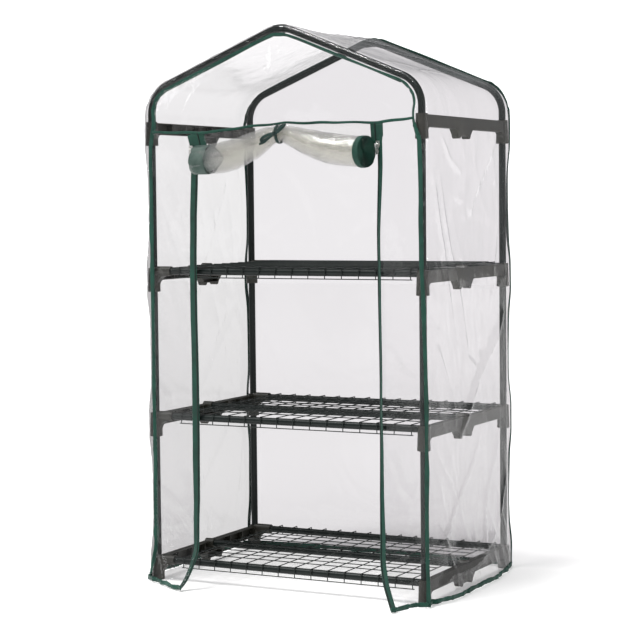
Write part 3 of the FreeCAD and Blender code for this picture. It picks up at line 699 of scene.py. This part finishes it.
wrap = np.zeros((row_count, len(columns), 3))
for j, (off, y) in enumerate(columns):
    wrap[:, j, 0] = line_p[:, 0] + line_n[:, 0] * off
    wrap[:, j, 1] = y
    wrap[:, j, 2] = np.maximum(line_p[:, 1] + line_n[:, 1] * off, 0.003)
# the foot rises and falls a little where the hem isn't on the floor
foot_lift = 0.001 * (1 + np.sin(2 * math.pi * wrap[:, :, 1] / 0.19 + 0.7))
wrap[:, :, 2] += foot_lift * np.clip(1 - line_s / 0.10, 0, 1)[:, None] ** 2
film_wrap = mesh_object("film_wrap", wrap.reshape(-1, 3), grid_faces(row_count, len(columns)), FILM, "cover")

# ---------------------------------------------------------------- the front sheet, with the door's opening
front_edge, back_edge = wrap[:, 0], wrap[:, -1]
FREE_LEFT, FREE_RIGHT = TAPE_LEFT[1].x, TAPE_RIGHT[0].x
panel_rows = int(HEADER_Z / STEP)
gable_rows = 34
low_z = np.linspace(0, 1, panel_rows + 1) * HEADER_Z


def edge_at_height(edge, z, side):
    part = edge[: row_count // 2] if side < 0 else edge[row_count // 2:][::-1]
    order = np.argsort(line_s[: row_count // 2] if side < 0 else line_s[row_count // 2:][::-1])
    part = part[order]
    keep = part[:, 2] <= HEADER_Z + 0.05
    return np.interp(z, part[keep, 2], part[keep, 0]), np.interp(z, part[keep, 2], part[keep, 1])


def gable_top(edge, x):
    """Height and y of an end edge over a place x, above the header."""
    part = edge[edge[:, 2] > HEADER_Z - 0.002]
    part = part[np.argsort(part[:, 0])]
    return np.interp(x, part[:, 0], part[:, 2]), np.interp(x, part[:, 0], part[:, 1])


PANEL_COLUMNS = 22
DOOR_COLUMNS = 76
from_corner = (np.linspace(0, 1, PANEL_COLUMNS + 1) ** 1.4)


def end_sheet(edge, plane_y, outwards, shape, left_x, right_x):
    """Grid of an end panel between the wrap's two edges. shape(x, z) is its folds, in metres outwards."""
    lx, ly = edge_at_height(edge, low_z, -1)
    rx, ry = edge_at_height(edge, low_z, 1)
    grid_x, grid_z, grid_y = [], [], []
    for i in range(panel_rows + 1):
        left = lx[i] + (left_x - lx[i]) * from_corner
        right = rx[i] + (right_x - rx[i]) * from_corner[::-1]
        middle = np.linspace(left_x, right_x, DOOR_COLUMNS + 1)[1:-1]
        x = np.concatenate([left, middle, right])
        pull = (ly[i] - plane_y) * np.exp(-(x - lx[i]) / 0.030) + (ry[i] - plane_y) * np.exp(-(rx[i] - x) / 0.030)
        grid_x.append(x)
        grid_z.append(np.full_like(x, low_z[i]))
        grid_y.append(plane_y + pull)
    x = grid_x[-1]
    top_z, top_y = gable_top(edge, x)
    top_z[0] = top_z[-1] = HEADER_Z
    side_pull = grid_y[-1] - plane_y
    for k in range(1, gable_rows + 1):
        part = k / gable_rows
        z = HEADER_Z + (top_z - HEADER_Z) * part
        below = (top_z - z) * math.cos(ROOF_PITCH)
        pull = (top_y - plane_y) * np.exp(-below / 0.030)
        blend = np.maximum(np.abs(pull), np.abs(side_pull) * np.exp(-(z - HEADER_Z) / 0.02)) * outwards * -1
        blend[0], blend[-1] = side_pull[0], side_pull[-1]
        grid_x.append(x)
        grid_z.append(z)
        grid_y.append(plane_y + blend)
    gx, gy, gz = np.array(grid_x), np.array(grid_y), np.array(grid_z)
    inside = np.minimum(gx - gx[:, :1], gx[:, -1:] - gx)
    from_top = np.where(np.arange(gx.shape[0])[:, None] > panel_rows, top_z[None, :] - gz, 1.0)
    free = smooth(0, 0.03, inside) * smooth(0, 0.03, from_top)
    gy = gy + outwards * shape(gx, gz) * free
    return gx, gy, gz


def front_shape(x, z):
    high = smooth(HEADER_Z - 0.02, HEADER_Z + 0.02, z)
    calm = 1 - 0.75 * np.exp(-((z - HEADER_Z) / 0.018) ** 2)
    swell = 0.004 * np.sin(math.pi * (z / 0.331)) * np.sin(2 * math.pi * x / 0.23 + 0.8) * (1 - high)
    slack = 0.003 * np.sin(2 * math.pi * x / 0.31) * high
    foot = np.clip(1 - z / 0.16, 0, 1)
    crumple = 0.007 * (ridges(x * 30 + z * 14, z * 26 - x * 8, 87, 3) - 0.3) * foot
    total = folded(x, z, FRONT_FOLDS, 51, 0.9, 12, 1.3) + swell + slack + crumple
    sleeve = near_sleeve(z, 0.02) * smooth(0.045, 0.02, np.abs(np.abs(x) - POST_X))
    total = np.where(sleeve > 0.3, np.maximum(total, -0.0008), total)
    return calm * np.maximum(total, -0.007)


fx, fy, fz = end_sheet(front_edge, FRONT_FILM_Y, -1, front_shape, FREE_LEFT, FREE_RIGHT)


# how far the door panels' free edges stray along X, at heights above the floor
LEFT_LEAN = np.array([(0.0, 0.0), (0.20, 0.006), (0.45, 0.002), (0.60, 0.001), (0.74, 0.004), (0.90, 0.010),
                      (0.985, 0.013), (1.035, 0.004)])
RIGHT_LEAN = np.array([(0.0, 0.0), (0.15, 0.005), (0.30, 0.007), (0.62, 0.005), (0.80, 0.005), (0.94, 0.007),
                       (1.035, 0.003)])


def flap_move(x, z, side, corner_x, free_x):
    """How the foot of a front panel swings out of the front plane, and how its free edge curls."""
    u = np.clip((x - corner_x) / (free_x - corner_x), 0, 1)
    if side > 0:
        swing = np.clip(1 - z / 0.33, 0, 1) ** 2.0
        curl = np.clip(1 - z / 0.10, 0, 1) ** 1.6
        dx = 0.049 * swing * u ** 1.25 + 0.024 * curl * u + u * np.interp(z, RIGHT_LEAN[:, 0], RIGHT_LEAN[:, 1])
        dy = -0.0935 * swing * u ** 1.1 - 0.003 * curl * u
        ripple = 0.004 * np.sin(3 * math.pi * u) * swing
    else:
        swing = np.clip(1 - z / 0.30, 0, 1) ** 2.0
        curl = np.clip(1 - z / 0.095, 0, 1) ** 1.5
        dx = 0.048 * swing * u ** 1.2 - 0.044 * curl * u + u * np.interp(z, LEFT_LEAN[:, 0], LEFT_LEAN[:, 1])
        dy = -0.090 * swing * u ** 0.85
        ripple = 0.005 * np.sin(3 * math.pi * u + 0.6) * swing * u
    return dx, dy - ripple


left_x, left_y = edge_at_height(front_edge, fz, -1)
right_x, right_y = edge_at_height(front_edge, fz, 1)
for side, corner, free_x, chosen in ((-1, left_x, FREE_LEFT, fx < 0), (1, right_x, FREE_RIGHT, fx > 0)):
    dx, dy = flap_move(fx, fz, side, corner, free_x)
    fx = np.where(chosen, fx + dx, fx)
    fy = np.where(chosen, fy + dy, fy)
HEADER_SAG = np.array([(-0.355, -0.009), (-0.268, -0.0125), (-0.200, -0.0155), (-0.144, -0.012), (-0.094, -0.0065),
                       (0.018, 0.002), (0.082, -0.001), (0.157, -0.001), (0.242, -0.004), (0.300, 0.001),
                       (0.355, 0.007)])     # the seam's rise and fall along X
wave = np.interp(fx, HEADER_SAG[:, 0], HEADER_SAG[:, 1]) + 0.0007 * np.sin(2 * math.pi * fx / 0.083)
fz = fz + wave * np.exp(-((fz - HEADER_Z) / 0.03) ** 2)
fz = np.maximum(fz, 0.003)
lift = 0.0012 * (1 + np.sin(2 * math.pi * fx / 0.055 + 0.4))
fz = fz + lift * np.clip(1 - fz / 0.05, 0, 1) ** 2

column_count = fx.shape[1]
keep = np.ones((fx.shape[0] - 1, column_count - 1), bool)
keep[:panel_rows, PANEL_COLUMNS:PANEL_COLUMNS + DOOR_COLUMNS] = False
front_points = np.stack([fx, fy, fz], -1)
points, faces, used = compact(front_points.reshape(-1, 3), grid_faces(fx.shape[0], column_count, keep))
film_front = mesh_object("film_front", points, faces, FILM_FRONT, "cover")


# ---------------------------------------------------------------- the back sheet
def back_shape(x, z):
    wide = 0.005 * np.sin(2 * math.pi * x / 0.36 + 0.5) * np.sin(math.pi * z / 0.52)
    total = folded(x, z, BACK_FOLDS, 71, 0.9) + wide
    sleeve = near_sleeve(z, 0.02) * smooth(0.045, 0.02, np.abs(np.abs(x) - POST_X))
    total = np.where(sleeve > 0.3, np.maximum(total, -0.0008), total)
    return np.maximum(total, -0.006)


bx, by, bz = end_sheet(back_edge, BACK_FILM_Y, 1, back_shape, -0.20, 0.20)
by = by + 0.012 * np.clip(1 - bz / 0.16, 0, 1) ** 1.8 * np.cos(np.clip(bx / 0.72, -0.5, 0.5) * math.pi)
bz = np.maximum(bz, 0.003)
back_points = np.stack([bx, by, bz], -1)
film_back = mesh_object("film_back_sheet", back_points.reshape(-1, 3), grid_faces(bx.shape[0], bx.shape[1]),
                        FILM_BACK_PAINTED_SHADE, "cover")

# ---------------------------------------------------------------- bindings, hem and zip tapes
OVAL = rounded_section(BINDING_W, BINDING_T)


def wobble(count, seed, size, period=14):
    """A slow random drift along a strip."""
    at = np.arange(count) / period
    return size * (2 * lattice(at, np.zeros(count), seed) - 1)


def end_binding(name, edge, forwards, seed):
    inward = np.zeros_like(edge)
    angle = (seam_a if forwards < 0 else back_a)
    inward[:, 0] = -line_n[:, 0] * np.sin(angle)
    inward[:, 2] = -line_n[:, 1] * np.sin(angle)
    tangent_y = forwards * np.cos(angle)
    across = inward.copy()
    across[:, 1] = tangent_y
    radial = np.zeros_like(edge)
    radial[:, 0] = line_n[:, 0] * np.cos(angle)
    radial[:, 2] = line_n[:, 1] * np.cos(angle)
    radial[:, 1] = forwards * np.sin(angle)
    centre = edge + across * 0.0020 + radial * 0.0011
    path = even(np.hstack([centre, radial]), 0.006)
    place, out = path[:, :3], path[:, 3:]
    count = len(place)
    side = np.cross(np.gradient(place, axis=0), out)
    side /= np.linalg.norm(side, axis=1)[:, None]
    place = place + side * wobble(count, seed, 0.0008)[:, None]
    out = out + side * wobble(count, seed + 1, 0.25)[:, None]
    at_left = (place[:, 0] < 0) * (forwards < 0)
    below = np.clip((0.110 - place[:, 2]) / 0.110, 0, 1) * at_left
    out = out + side * (0.9 * np.sin(4.5 * below))[:, None]
    size = 1 + wobble(count, seed + 2, 0.14) + 0.45 * at_left * np.exp(-((place[:, 2] - 0.112) / 0.008) ** 2)
    return sweep(name, place, out, OVAL, GREEN, "cover", scale=size)


binding_front = end_binding("binding_front", front_edge, -1, 101)
binding_back = end_binding("binding_back", back_edge, 1, 111)

header_row = front_points[panel_rows]
header_path = even(header_row, 0.006)
header_count = len(header_path)
header_out = np.tile([0.0, -1.0, 0.0], (header_count, 1))
header_path = header_path + np.array([0, -0.0012, 0])
header_path[:, 2] += wobble(header_count, 121, 0.0006)
header = sweep("header_binding", header_path, header_out, rounded_section(0.0058, 0.0026), GREEN, "cover",
               scale=1 + wobble(header_count, 122, 0.18))

HEM_W = 0.0105
hem_section = rounded_section(HEM_W, 0.0028)


def hem(name, path, out, seed):
    path = even(np.hstack([path, out]), 0.007)
    place, out = path[:, :3], path[:, 3:]
    place = place + out * 0.0004
    place[:, 2] = np.maximum(place[:, 2], 0.002) + HEM_W * 0.42
    out = out + np.array([0, 0, 1.0]) * wobble(len(place), seed, 0.5, 9)[:, None]
    return sweep(name, place, out, hem_section, GREEN, "cover", scale=1 + wobble(len(place), seed + 1, 0.12))


def flat_normals(path, away):
    """Level directions square to a path on the floor, on the side of away."""
    along = np.gradient(path, axis=0)
    out = np.stack([along[:, 1], -along[:, 0], np.zeros(len(path))], -1)
    out /= np.linalg.norm(out, axis=1)[:, None] + 1e-9
    sign = np.sign((out * away).sum(1))
    sign[sign == 0] = 1
    return out * sign[:, None]


right_foot, left_foot = wrap[-1], wrap[0]
hem_right = hem("hem_right", right_foot, flat_normals(right_foot, np.array([1.0, 0, 0])), 131)
hem_left = hem("hem_left", left_foot, flat_normals(left_foot, np.array([-1.0, 0, 0])), 141)
back_foot = back_points[0]
hem_back = hem("hem_back", back_foot, flat_normals(back_foot, np.array([0, 1.0, 0])), 151)
front_left_foot = front_points[0, :PANEL_COLUMNS + 1]
front_right_foot = front_points[0, PANEL_COLUMNS + DOOR_COLUMNS:]
hem_front_left = hem("hem_front_left", front_left_foot,
                     flat_normals(front_left_foot, np.array([0.3, -1.0, 0])), 161)
hem_front_right = hem("hem_front_right", front_right_foot,
                      flat_normals(front_right_foot, np.array([-0.3, -1.0, 0])), 171)


def zip_tape(name, column, inward_sign, width, twist_deg, top_wide, seed):
    """Tape sewn along a door panel's free edge, with the zip's coil on its inner edge."""
    edge = front_points[:panel_rows + 1, column][::-1]
    path = even(soften(edge, 6), 0.006)
    count = len(path)
    run = np.linspace(0, 1, count)
    at_top = smooth(0.045, 0.030, run)
    wide = 1 + top_wide * at_top                # wider at the top, where the door's tape joins it
    twist = math.radians(twist_deg) * np.sin(math.pi * np.clip(run * 1.1, 0, 1)) + wobble(count, seed, 0.10, 20)
    out = np.stack([inward_sign * np.sin(twist), -np.cos(twist), np.zeros(count)], -1)
    low = np.clip(1 - (path[:, 2] / 0.20), 0, 1)[:, None]
    away = np.array([0.45, -0.80, 0.35]) if inward_sign < 0 else np.array([-0.50, -0.75, 0.35])
    out = out * (1 - low) + away * low
    along = np.gradient(path, axis=0)
    along /= np.linalg.norm(along, axis=1)[:, None]
    out = out - (out * along).sum(1)[:, None] * along
    out /= np.linalg.norm(out, axis=1)[:, None]
    across = np.cross(along, out)
    middle = path + across * (inward_sign * width / 2 * (1 - at_top))[:, None] + out * 0.0012
    tape = sweep(name, middle, out, rounded_section(width, 0.0016), GREEN_PLAIN, "cover", scale=wide)
    coil_path = even(middle - across * inward_sign * width * 0.28 + out * 0.0006, 0.0024)
    coil_out = np.stack([np.interp(np.linspace(0, 1, len(coil_path)), run, out[:, k]) for k in range(3)], -1)
    ring = rounded_section(0.0030, 0.0026, 8)
    beat = 1 + 0.28 * np.where(np.arange(len(coil_path)) % 2 == 0, 1, -1)
    coil = sweep(name + "_coil", coil_path, coil_out, ring, TEETH, "cover", scale=beat)
    return tape, coil


tape_left, coil_left = zip_tape("tape_left", PANEL_COLUMNS, 1, 0.0175, 6, 1.5, 181)
tape_right, coil_right = zip_tape("tape_right", PANEL_COLUMNS + DOOR_COLUMNS, -1, 0.0125, 42, 1.4, 191)

# ---------------------------------------------------------------- the rolled door: one sheet from the header to the roll's core
ROLL_Y = (ROLL[0].y + ROLL[1].y) / 2
TIE_X = (TIE[0].x + TIE[1].x) / 2
TURNS = 9.6
CORE_R = 0.0035
stations = np.array([   # from the tie along X, the axis's height, radius
    (-0.2115, 0.9570, 0.0335), (-0.1500, 0.9640, 0.0352), (-0.1100, 0.9720, 0.0355), (-0.0600, 0.9895, 0.0300),
    (-0.0250, 1.0050, 0.0215), (-0.0100, 1.0110, 0.0180), (0.0000, 1.0120, 0.0165), (0.0100, 1.0110, 0.0180),
    (0.0250, 1.0060, 0.0220), (0.0600, 0.9935, 0.0300), (0.1120, 0.9800, 0.0362), (0.1600, 0.9735, 0.0365),
    (0.2100, 0.9695, 0.0355)])
roll_columns = 90
roll_turn_steps = 30
angles = np.linspace(0, 2 * math.pi * TURNS, int(TURNS * roll_turn_steps) + 1)
strip_rows = 7
part = angles / angles[-1]
x_left = stations[0, 0] + 0.034 * part
x_right = stations[-1, 0] - 0.008 * part


def roll_radius(x, angle, depth):
    """Radius of a turn: the roll is gathered into folds where the ribbon ties it."""
    r = np.interp(x, stations[:, 0], stations[:, 2])
    near = np.exp(-np.abs(x) / 0.055)
    gather = 1 + near * 0.16 * np.sin(8 * angle + 2.2 * np.sin(x * 30)) * (1 - depth)
    loose = 1 + 0.035 * np.sin(2 * angle + 17 * x) + 0.030 * np.sin(3 * angle - 26 * x + 1.0)
    dents = 1 - 0.05 * ridges(angle * 0.9 + x * 20, x * 26 + angle * 0.4, 203, 4) * (1 - depth)
    return r * gather * loose * dents


roll_points = []
span_x = np.linspace(0, 1, roll_columns + 1)
x0 = x_left[0] + (x_right[0] - x_left[0]) * span_x
z0 = np.interp(x0, stations[:, 0], stations[:, 1])
r0 = roll_radius(x0, np.zeros_like(x0), 0.0)
touch = np.stack([TIE_X + x0, ROLL_Y + r0, z0], -1)
header_y = np.interp(TIE_X + x0, header_row[:, 0], header_row[:, 1])
header_z = np.interp(TIE_X + x0, header_row[:, 0], header_row[:, 2])
start_x = FREE_LEFT + 0.004 + (FREE_RIGHT - FREE_LEFT - 0.008) * span_x
start = np.stack([start_x, header_y - 0.0005, header_z - 0.001], -1)
for k in range(strip_rows):
    share = k / strip_rows
    row = start + (touch - start) * share
    row[:, 1] -= 0.003 * math.sin(math.pi * share)
    roll_points.append(row)
for angle, depth, xl, xr in zip(angles, part, x_left, x_right):
    x = xl + (xr - xl) * span_x
    z = np.interp(x, stations[:, 0], stations[:, 1])
    outer = roll_radius(x, np.full_like(x, angle), depth)
    r = outer + (CORE_R - outer) * depth
    y = ROLL_Y + r * math.cos(angle)
    x = TIE_X + x + 0.21 * (y - ROLL_Y) * smooth(0.85, 1.0, span_x)
    x = np.where(y > FRONT_FILM_Y - 0.004, np.minimum(x, FREE_RIGHT - 0.003), x)
    roll_points.append(np.stack([x, y, z - r * math.sin(angle)], -1))
roll_points = np.array(roll_points)
film_door = mesh_object("film_door", roll_points.reshape(-1, 3),
                        grid_faces(roll_points.shape[0], roll_points.shape[1]), FILM_ROLLED, "door")


def wound_tape(name, column, inner_column, width, look, seed):
    """The door's own zip tape, wound up with it: a double strip along the sheet's side edge."""
    outer = roll_points[strip_rows + 1:, column]
    inner = roll_points[strip_rows + 1:, inner_column]
    along_x = inner - outer
    along_x /= np.linalg.norm(along_x, axis=1)[:, None]
    centre = outer + along_x * width * 0.46
    axis_z = np.interp(outer[:, 0] - TIE_X, stations[:, 0], stations[:, 1])
    radial = np.stack([np.zeros(len(outer)), outer[:, 1] - ROLL_Y, outer[:, 2] - axis_z], -1)
    radial /= np.linalg.norm(radial, axis=1)[:, None]
    return sweep(name, centre, radial, rounded_section(width, 0.0020, 10), look, "door",
                 scale=1 + wobble(len(centre), seed, 0.10, 25))


# the left tape's pale grey-green is the tape's green plus painted reflection of the film wound over it
wound_left = wound_tape("door_tape_left", 0, 1, 0.0380, GREEN_PAINTED_REFLECTION, 211)
wound_right = wound_tape("door_tape_right", roll_columns, roll_columns - 1, 0.0130, GREEN_PLAIN, 221)

# ---------------------------------------------------------------- the ribbon: a band round the roll, a strap and a bow
band_turn = np.linspace(0, 2 * math.pi, 48, endpoint=False)
band_r = 0.0200 + 0.0010 * np.sin(3 * band_turn)
waist_z = 1.012
band = np.stack([np.full_like(band_turn, TIE_X), ROLL_Y + band_r * np.cos(band_turn),
                 waist_z + band_r * np.sin(band_turn)], -1)
band_out = np.stack([np.zeros_like(band_turn), np.cos(band_turn), np.sin(band_turn)], -1)
ribbon_section = rounded_section(0.0080, 0.0014, 10)
ribbon_band = sweep("ribbon_band", band, band_out, ribbon_section, RIBBON, "door", closed=True)

BOW_Y = ROLL_Y - 0.0225
bow_paths = {
    "ribbon_loop_left": [(0.000, 0.000, 0.000), (-0.009, -0.003, -0.001), (-0.020, -0.005, -0.006),
                         (-0.026, -0.003, -0.011), (-0.021, 0.000, -0.012), (-0.010, 0.001, -0.006),
                         (-0.001, 0.000, -0.001)],
    "ribbon_loop_right": [(0.000, 0.000, 0.000), (0.007, -0.003, 0.005), (0.015, -0.005, 0.011),
                          (0.019, -0.003, 0.014), (0.016, 0.000, 0.011), (0.008, 0.001, 0.005),
                          (0.001, 0.000, 0.001)],
    "ribbon_tail_left": [(0.000, -0.001, 0.000), (-0.008, -0.004, -0.006), (-0.018, -0.004, -0.014),
                         (-0.029, -0.001, -0.017)],
    "ribbon_tail_right": [(0.000, -0.001, 0.000), (0.006, -0.004, 0.001), (0.014, -0.004, 0.007),
                          (0.022, -0.002, 0.015)],
}
BOW_SIZE = np.array([1.3, 1.0, 1.3])
for name, offsets in bow_paths.items():
    rough = even(np.array(offsets) * BOW_SIZE, 0.0015)
    path = soften(rough, 6) + np.array([TIE_X, BOW_Y, waist_z])
    out = np.tile([0.1, -1.0, 0.35], (len(path), 1))
    width = 1 - 0.35 * np.abs(np.linspace(-1, 1, len(path))) ** 3
    sweep(name, path, out, rounded_section(0.0075, 0.0013, 10), RIBBON, "door", scale=width)
knot_turn = np.linspace(0, 2 * math.pi, 16, endpoint=False)
knot = np.stack([TIE_X + 0.0032 * np.cos(knot_turn), BOW_Y - 0.0022 + 0.0026 * np.sin(knot_turn),
                 np.full_like(knot_turn, waist_z)], -1)
knot_out = np.stack([np.cos(knot_turn), np.sin(knot_turn), np.zeros_like(knot_turn)], -1)
sweep("ribbon_knot", knot, knot_out, rounded_section(0.0085, 0.0030, 10), RIBBON, "door",
                        closed=True)

strap_rough = [(TIE_X - 0.001, FRONT_FILM_Y - 0.0050, HEADER_Z - 0.007), (TIE_X, FRONT_FILM_Y - 0.014, HEADER_Z - 0.006),
               (TIE_X, BOW_Y + 0.004, waist_z + 0.014), (TIE_X, BOW_Y - 0.0005, waist_z + 0.004)]
strap_path = soften(even(strap_rough, 0.0015), 5)
strap_out = np.tile([0.1, -0.8, 0.6], (len(strap_path), 1))
sweep("ribbon_strap", strap_path, strap_out, rounded_section(0.0060, 0.0012, 10), RIBBON, "door")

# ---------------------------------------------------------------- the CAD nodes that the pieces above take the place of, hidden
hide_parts("film_side_left", "film_side_right", "film_roof_left", "film_roof_right")
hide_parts("film_front_gable", "film_front_left", "film_front_right")
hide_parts("film_back")
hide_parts("binding_front_left", "binding_front_right")
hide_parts("binding_back_left", "binding_back_right")
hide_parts("binding_header")
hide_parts("zip_tape_left")
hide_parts("zip_tape_right")
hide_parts("floor_hem")
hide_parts("door_roll", "door_strip")
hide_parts("door_tie")

# ---------------------------------------------------------------- floor, light and camera
floor_mesh = bpy.data.meshes.new("studio_floor")
floor_mesh.from_pydata([(-14, -14, 0), (14, -14, 0), (14, 14, 0), (-14, 14, 0)], [], [(0, 1, 2, 3)])
floor = bpy.data.objects.new("studio_floor", floor_mesh)
bpy.context.scene.collection.objects.link(floor)
floor_look, floor_tree, floor_shader = new_material("studio_floor_white")
floor_shader.inputs["Base Color"].default_value = (0.86, 0.855, 0.85, 1)
floor_shader.inputs["Roughness"].default_value = 0.9
floor_shader.inputs["Specular IOR Level"].default_value = 0.0
floor_shader.inputs["Emission Color"].default_value = (1.0, 1.0, 1.0, 1)
floor_shader.inputs["Emission Strength"].default_value = 0.34
floor_mesh.materials.append(floor_look)

AMBIENT = 0.30
world = bpy.data.worlds.new("studio")
world.use_nodes = True
world_tree = world.node_tree
ambient = world_tree.nodes["Background"]
ambient.inputs["Color"].default_value = (0.97, 0.98, 1.0, 1)
ambient.inputs["Strength"].default_value = AMBIENT
backdrop = world_tree.nodes.new("ShaderNodeBackground")
backdrop.inputs["Color"].default_value = (1.0, 1.0, 1.0, 1)
backdrop.inputs["Strength"].default_value = 1.40
seen = world_tree.nodes.new("ShaderNodeLightPath")
either = world_tree.nodes.new("ShaderNodeMixShader")
world_tree.links.new(seen.outputs["Is Camera Ray"], either.inputs["Fac"])
world_tree.links.new(ambient.outputs["Background"], either.inputs[1])
world_tree.links.new(backdrop.outputs["Background"], either.inputs[2])
world_tree.links.new(either.outputs["Shader"], world_tree.nodes["World Output"].inputs["Surface"])
bpy.context.scene.world = world


def softbox(name, place, aim, size, radiance):
    light = bpy.data.lights.new(name, "AREA")
    light.shape = "RECTANGLE"
    light.size, light.size_y = size
    light.energy = radiance * math.pi * size[0] * size[1]
    lamp = bpy.data.objects.new(name, light)
    bpy.context.scene.collection.objects.link(lamp)
    lamp.location = place
    lamp.rotation_euler = (Vector(aim) - Vector(place)).to_track_quat("-Z", "Y").to_euler()


sun = bpy.data.lights.new("studio_key", "SUN")
sun.energy = 2.95
sun.angle = math.radians(22)
sun_lamp = bpy.data.objects.new("studio_key", sun)
bpy.context.scene.collection.objects.link(sun_lamp)
sun_lamp.rotation_euler = Vector((0.25, 0.30, -1.0)).to_track_quat("-Z", "Y").to_euler()
softbox("left_softbox", (-3.0, -2.6, 2.2), (0, 0, 0.7), (0.7, 1.2), 5.0)
softbox("right_strip", (3.4, 0.9, 1.7), (0, 0, 0.7), (0.07, 2.0), 40.0)
softbox("left_strip", (-3.2, 0.6, 1.5), (0, 0, 0.7), (0.07, 2.0), 36.0)
softbox("high_strip", (0.4, -2.4, 3.4), (0, 0, 0.9), (1.8, 0.08), 42.0)

CAMERA_PLACE = (1.974, -3.8235, 0.863)
YAW, PITCH, TILT = math.radians(27.405), math.radians(-3.5855), math.radians(-0.5706)
ahead = Vector((-math.sin(YAW) * math.cos(PITCH), math.cos(YAW) * math.cos(PITCH), math.sin(PITCH)))
level = Vector((math.cos(YAW), math.sin(YAW), 0))
upright = level.cross(ahead)
turned = level * math.cos(TILT) + upright * math.sin(TILT)
up = upright * math.cos(TILT) - level * math.sin(TILT)
camera_data = bpy.data.cameras.new("camera")
camera_data.sensor_width = 36.0
camera_data.lens = 105.72
camera_data.clip_end = 100.0
camera = bpy.data.objects.new("camera", camera_data)
bpy.context.scene.collection.objects.link(camera)
axes = Matrix((turned, up, -ahead)).transposed().to_4x4()
camera.matrix_world = Matrix.Translation(CAMERA_PLACE) @ axes
bpy.context.scene.camera = camera
bpy.context.scene.view_settings.view_transform = "Standard"
bpy.context.scene.cycles.transparent_max_bounces = 64
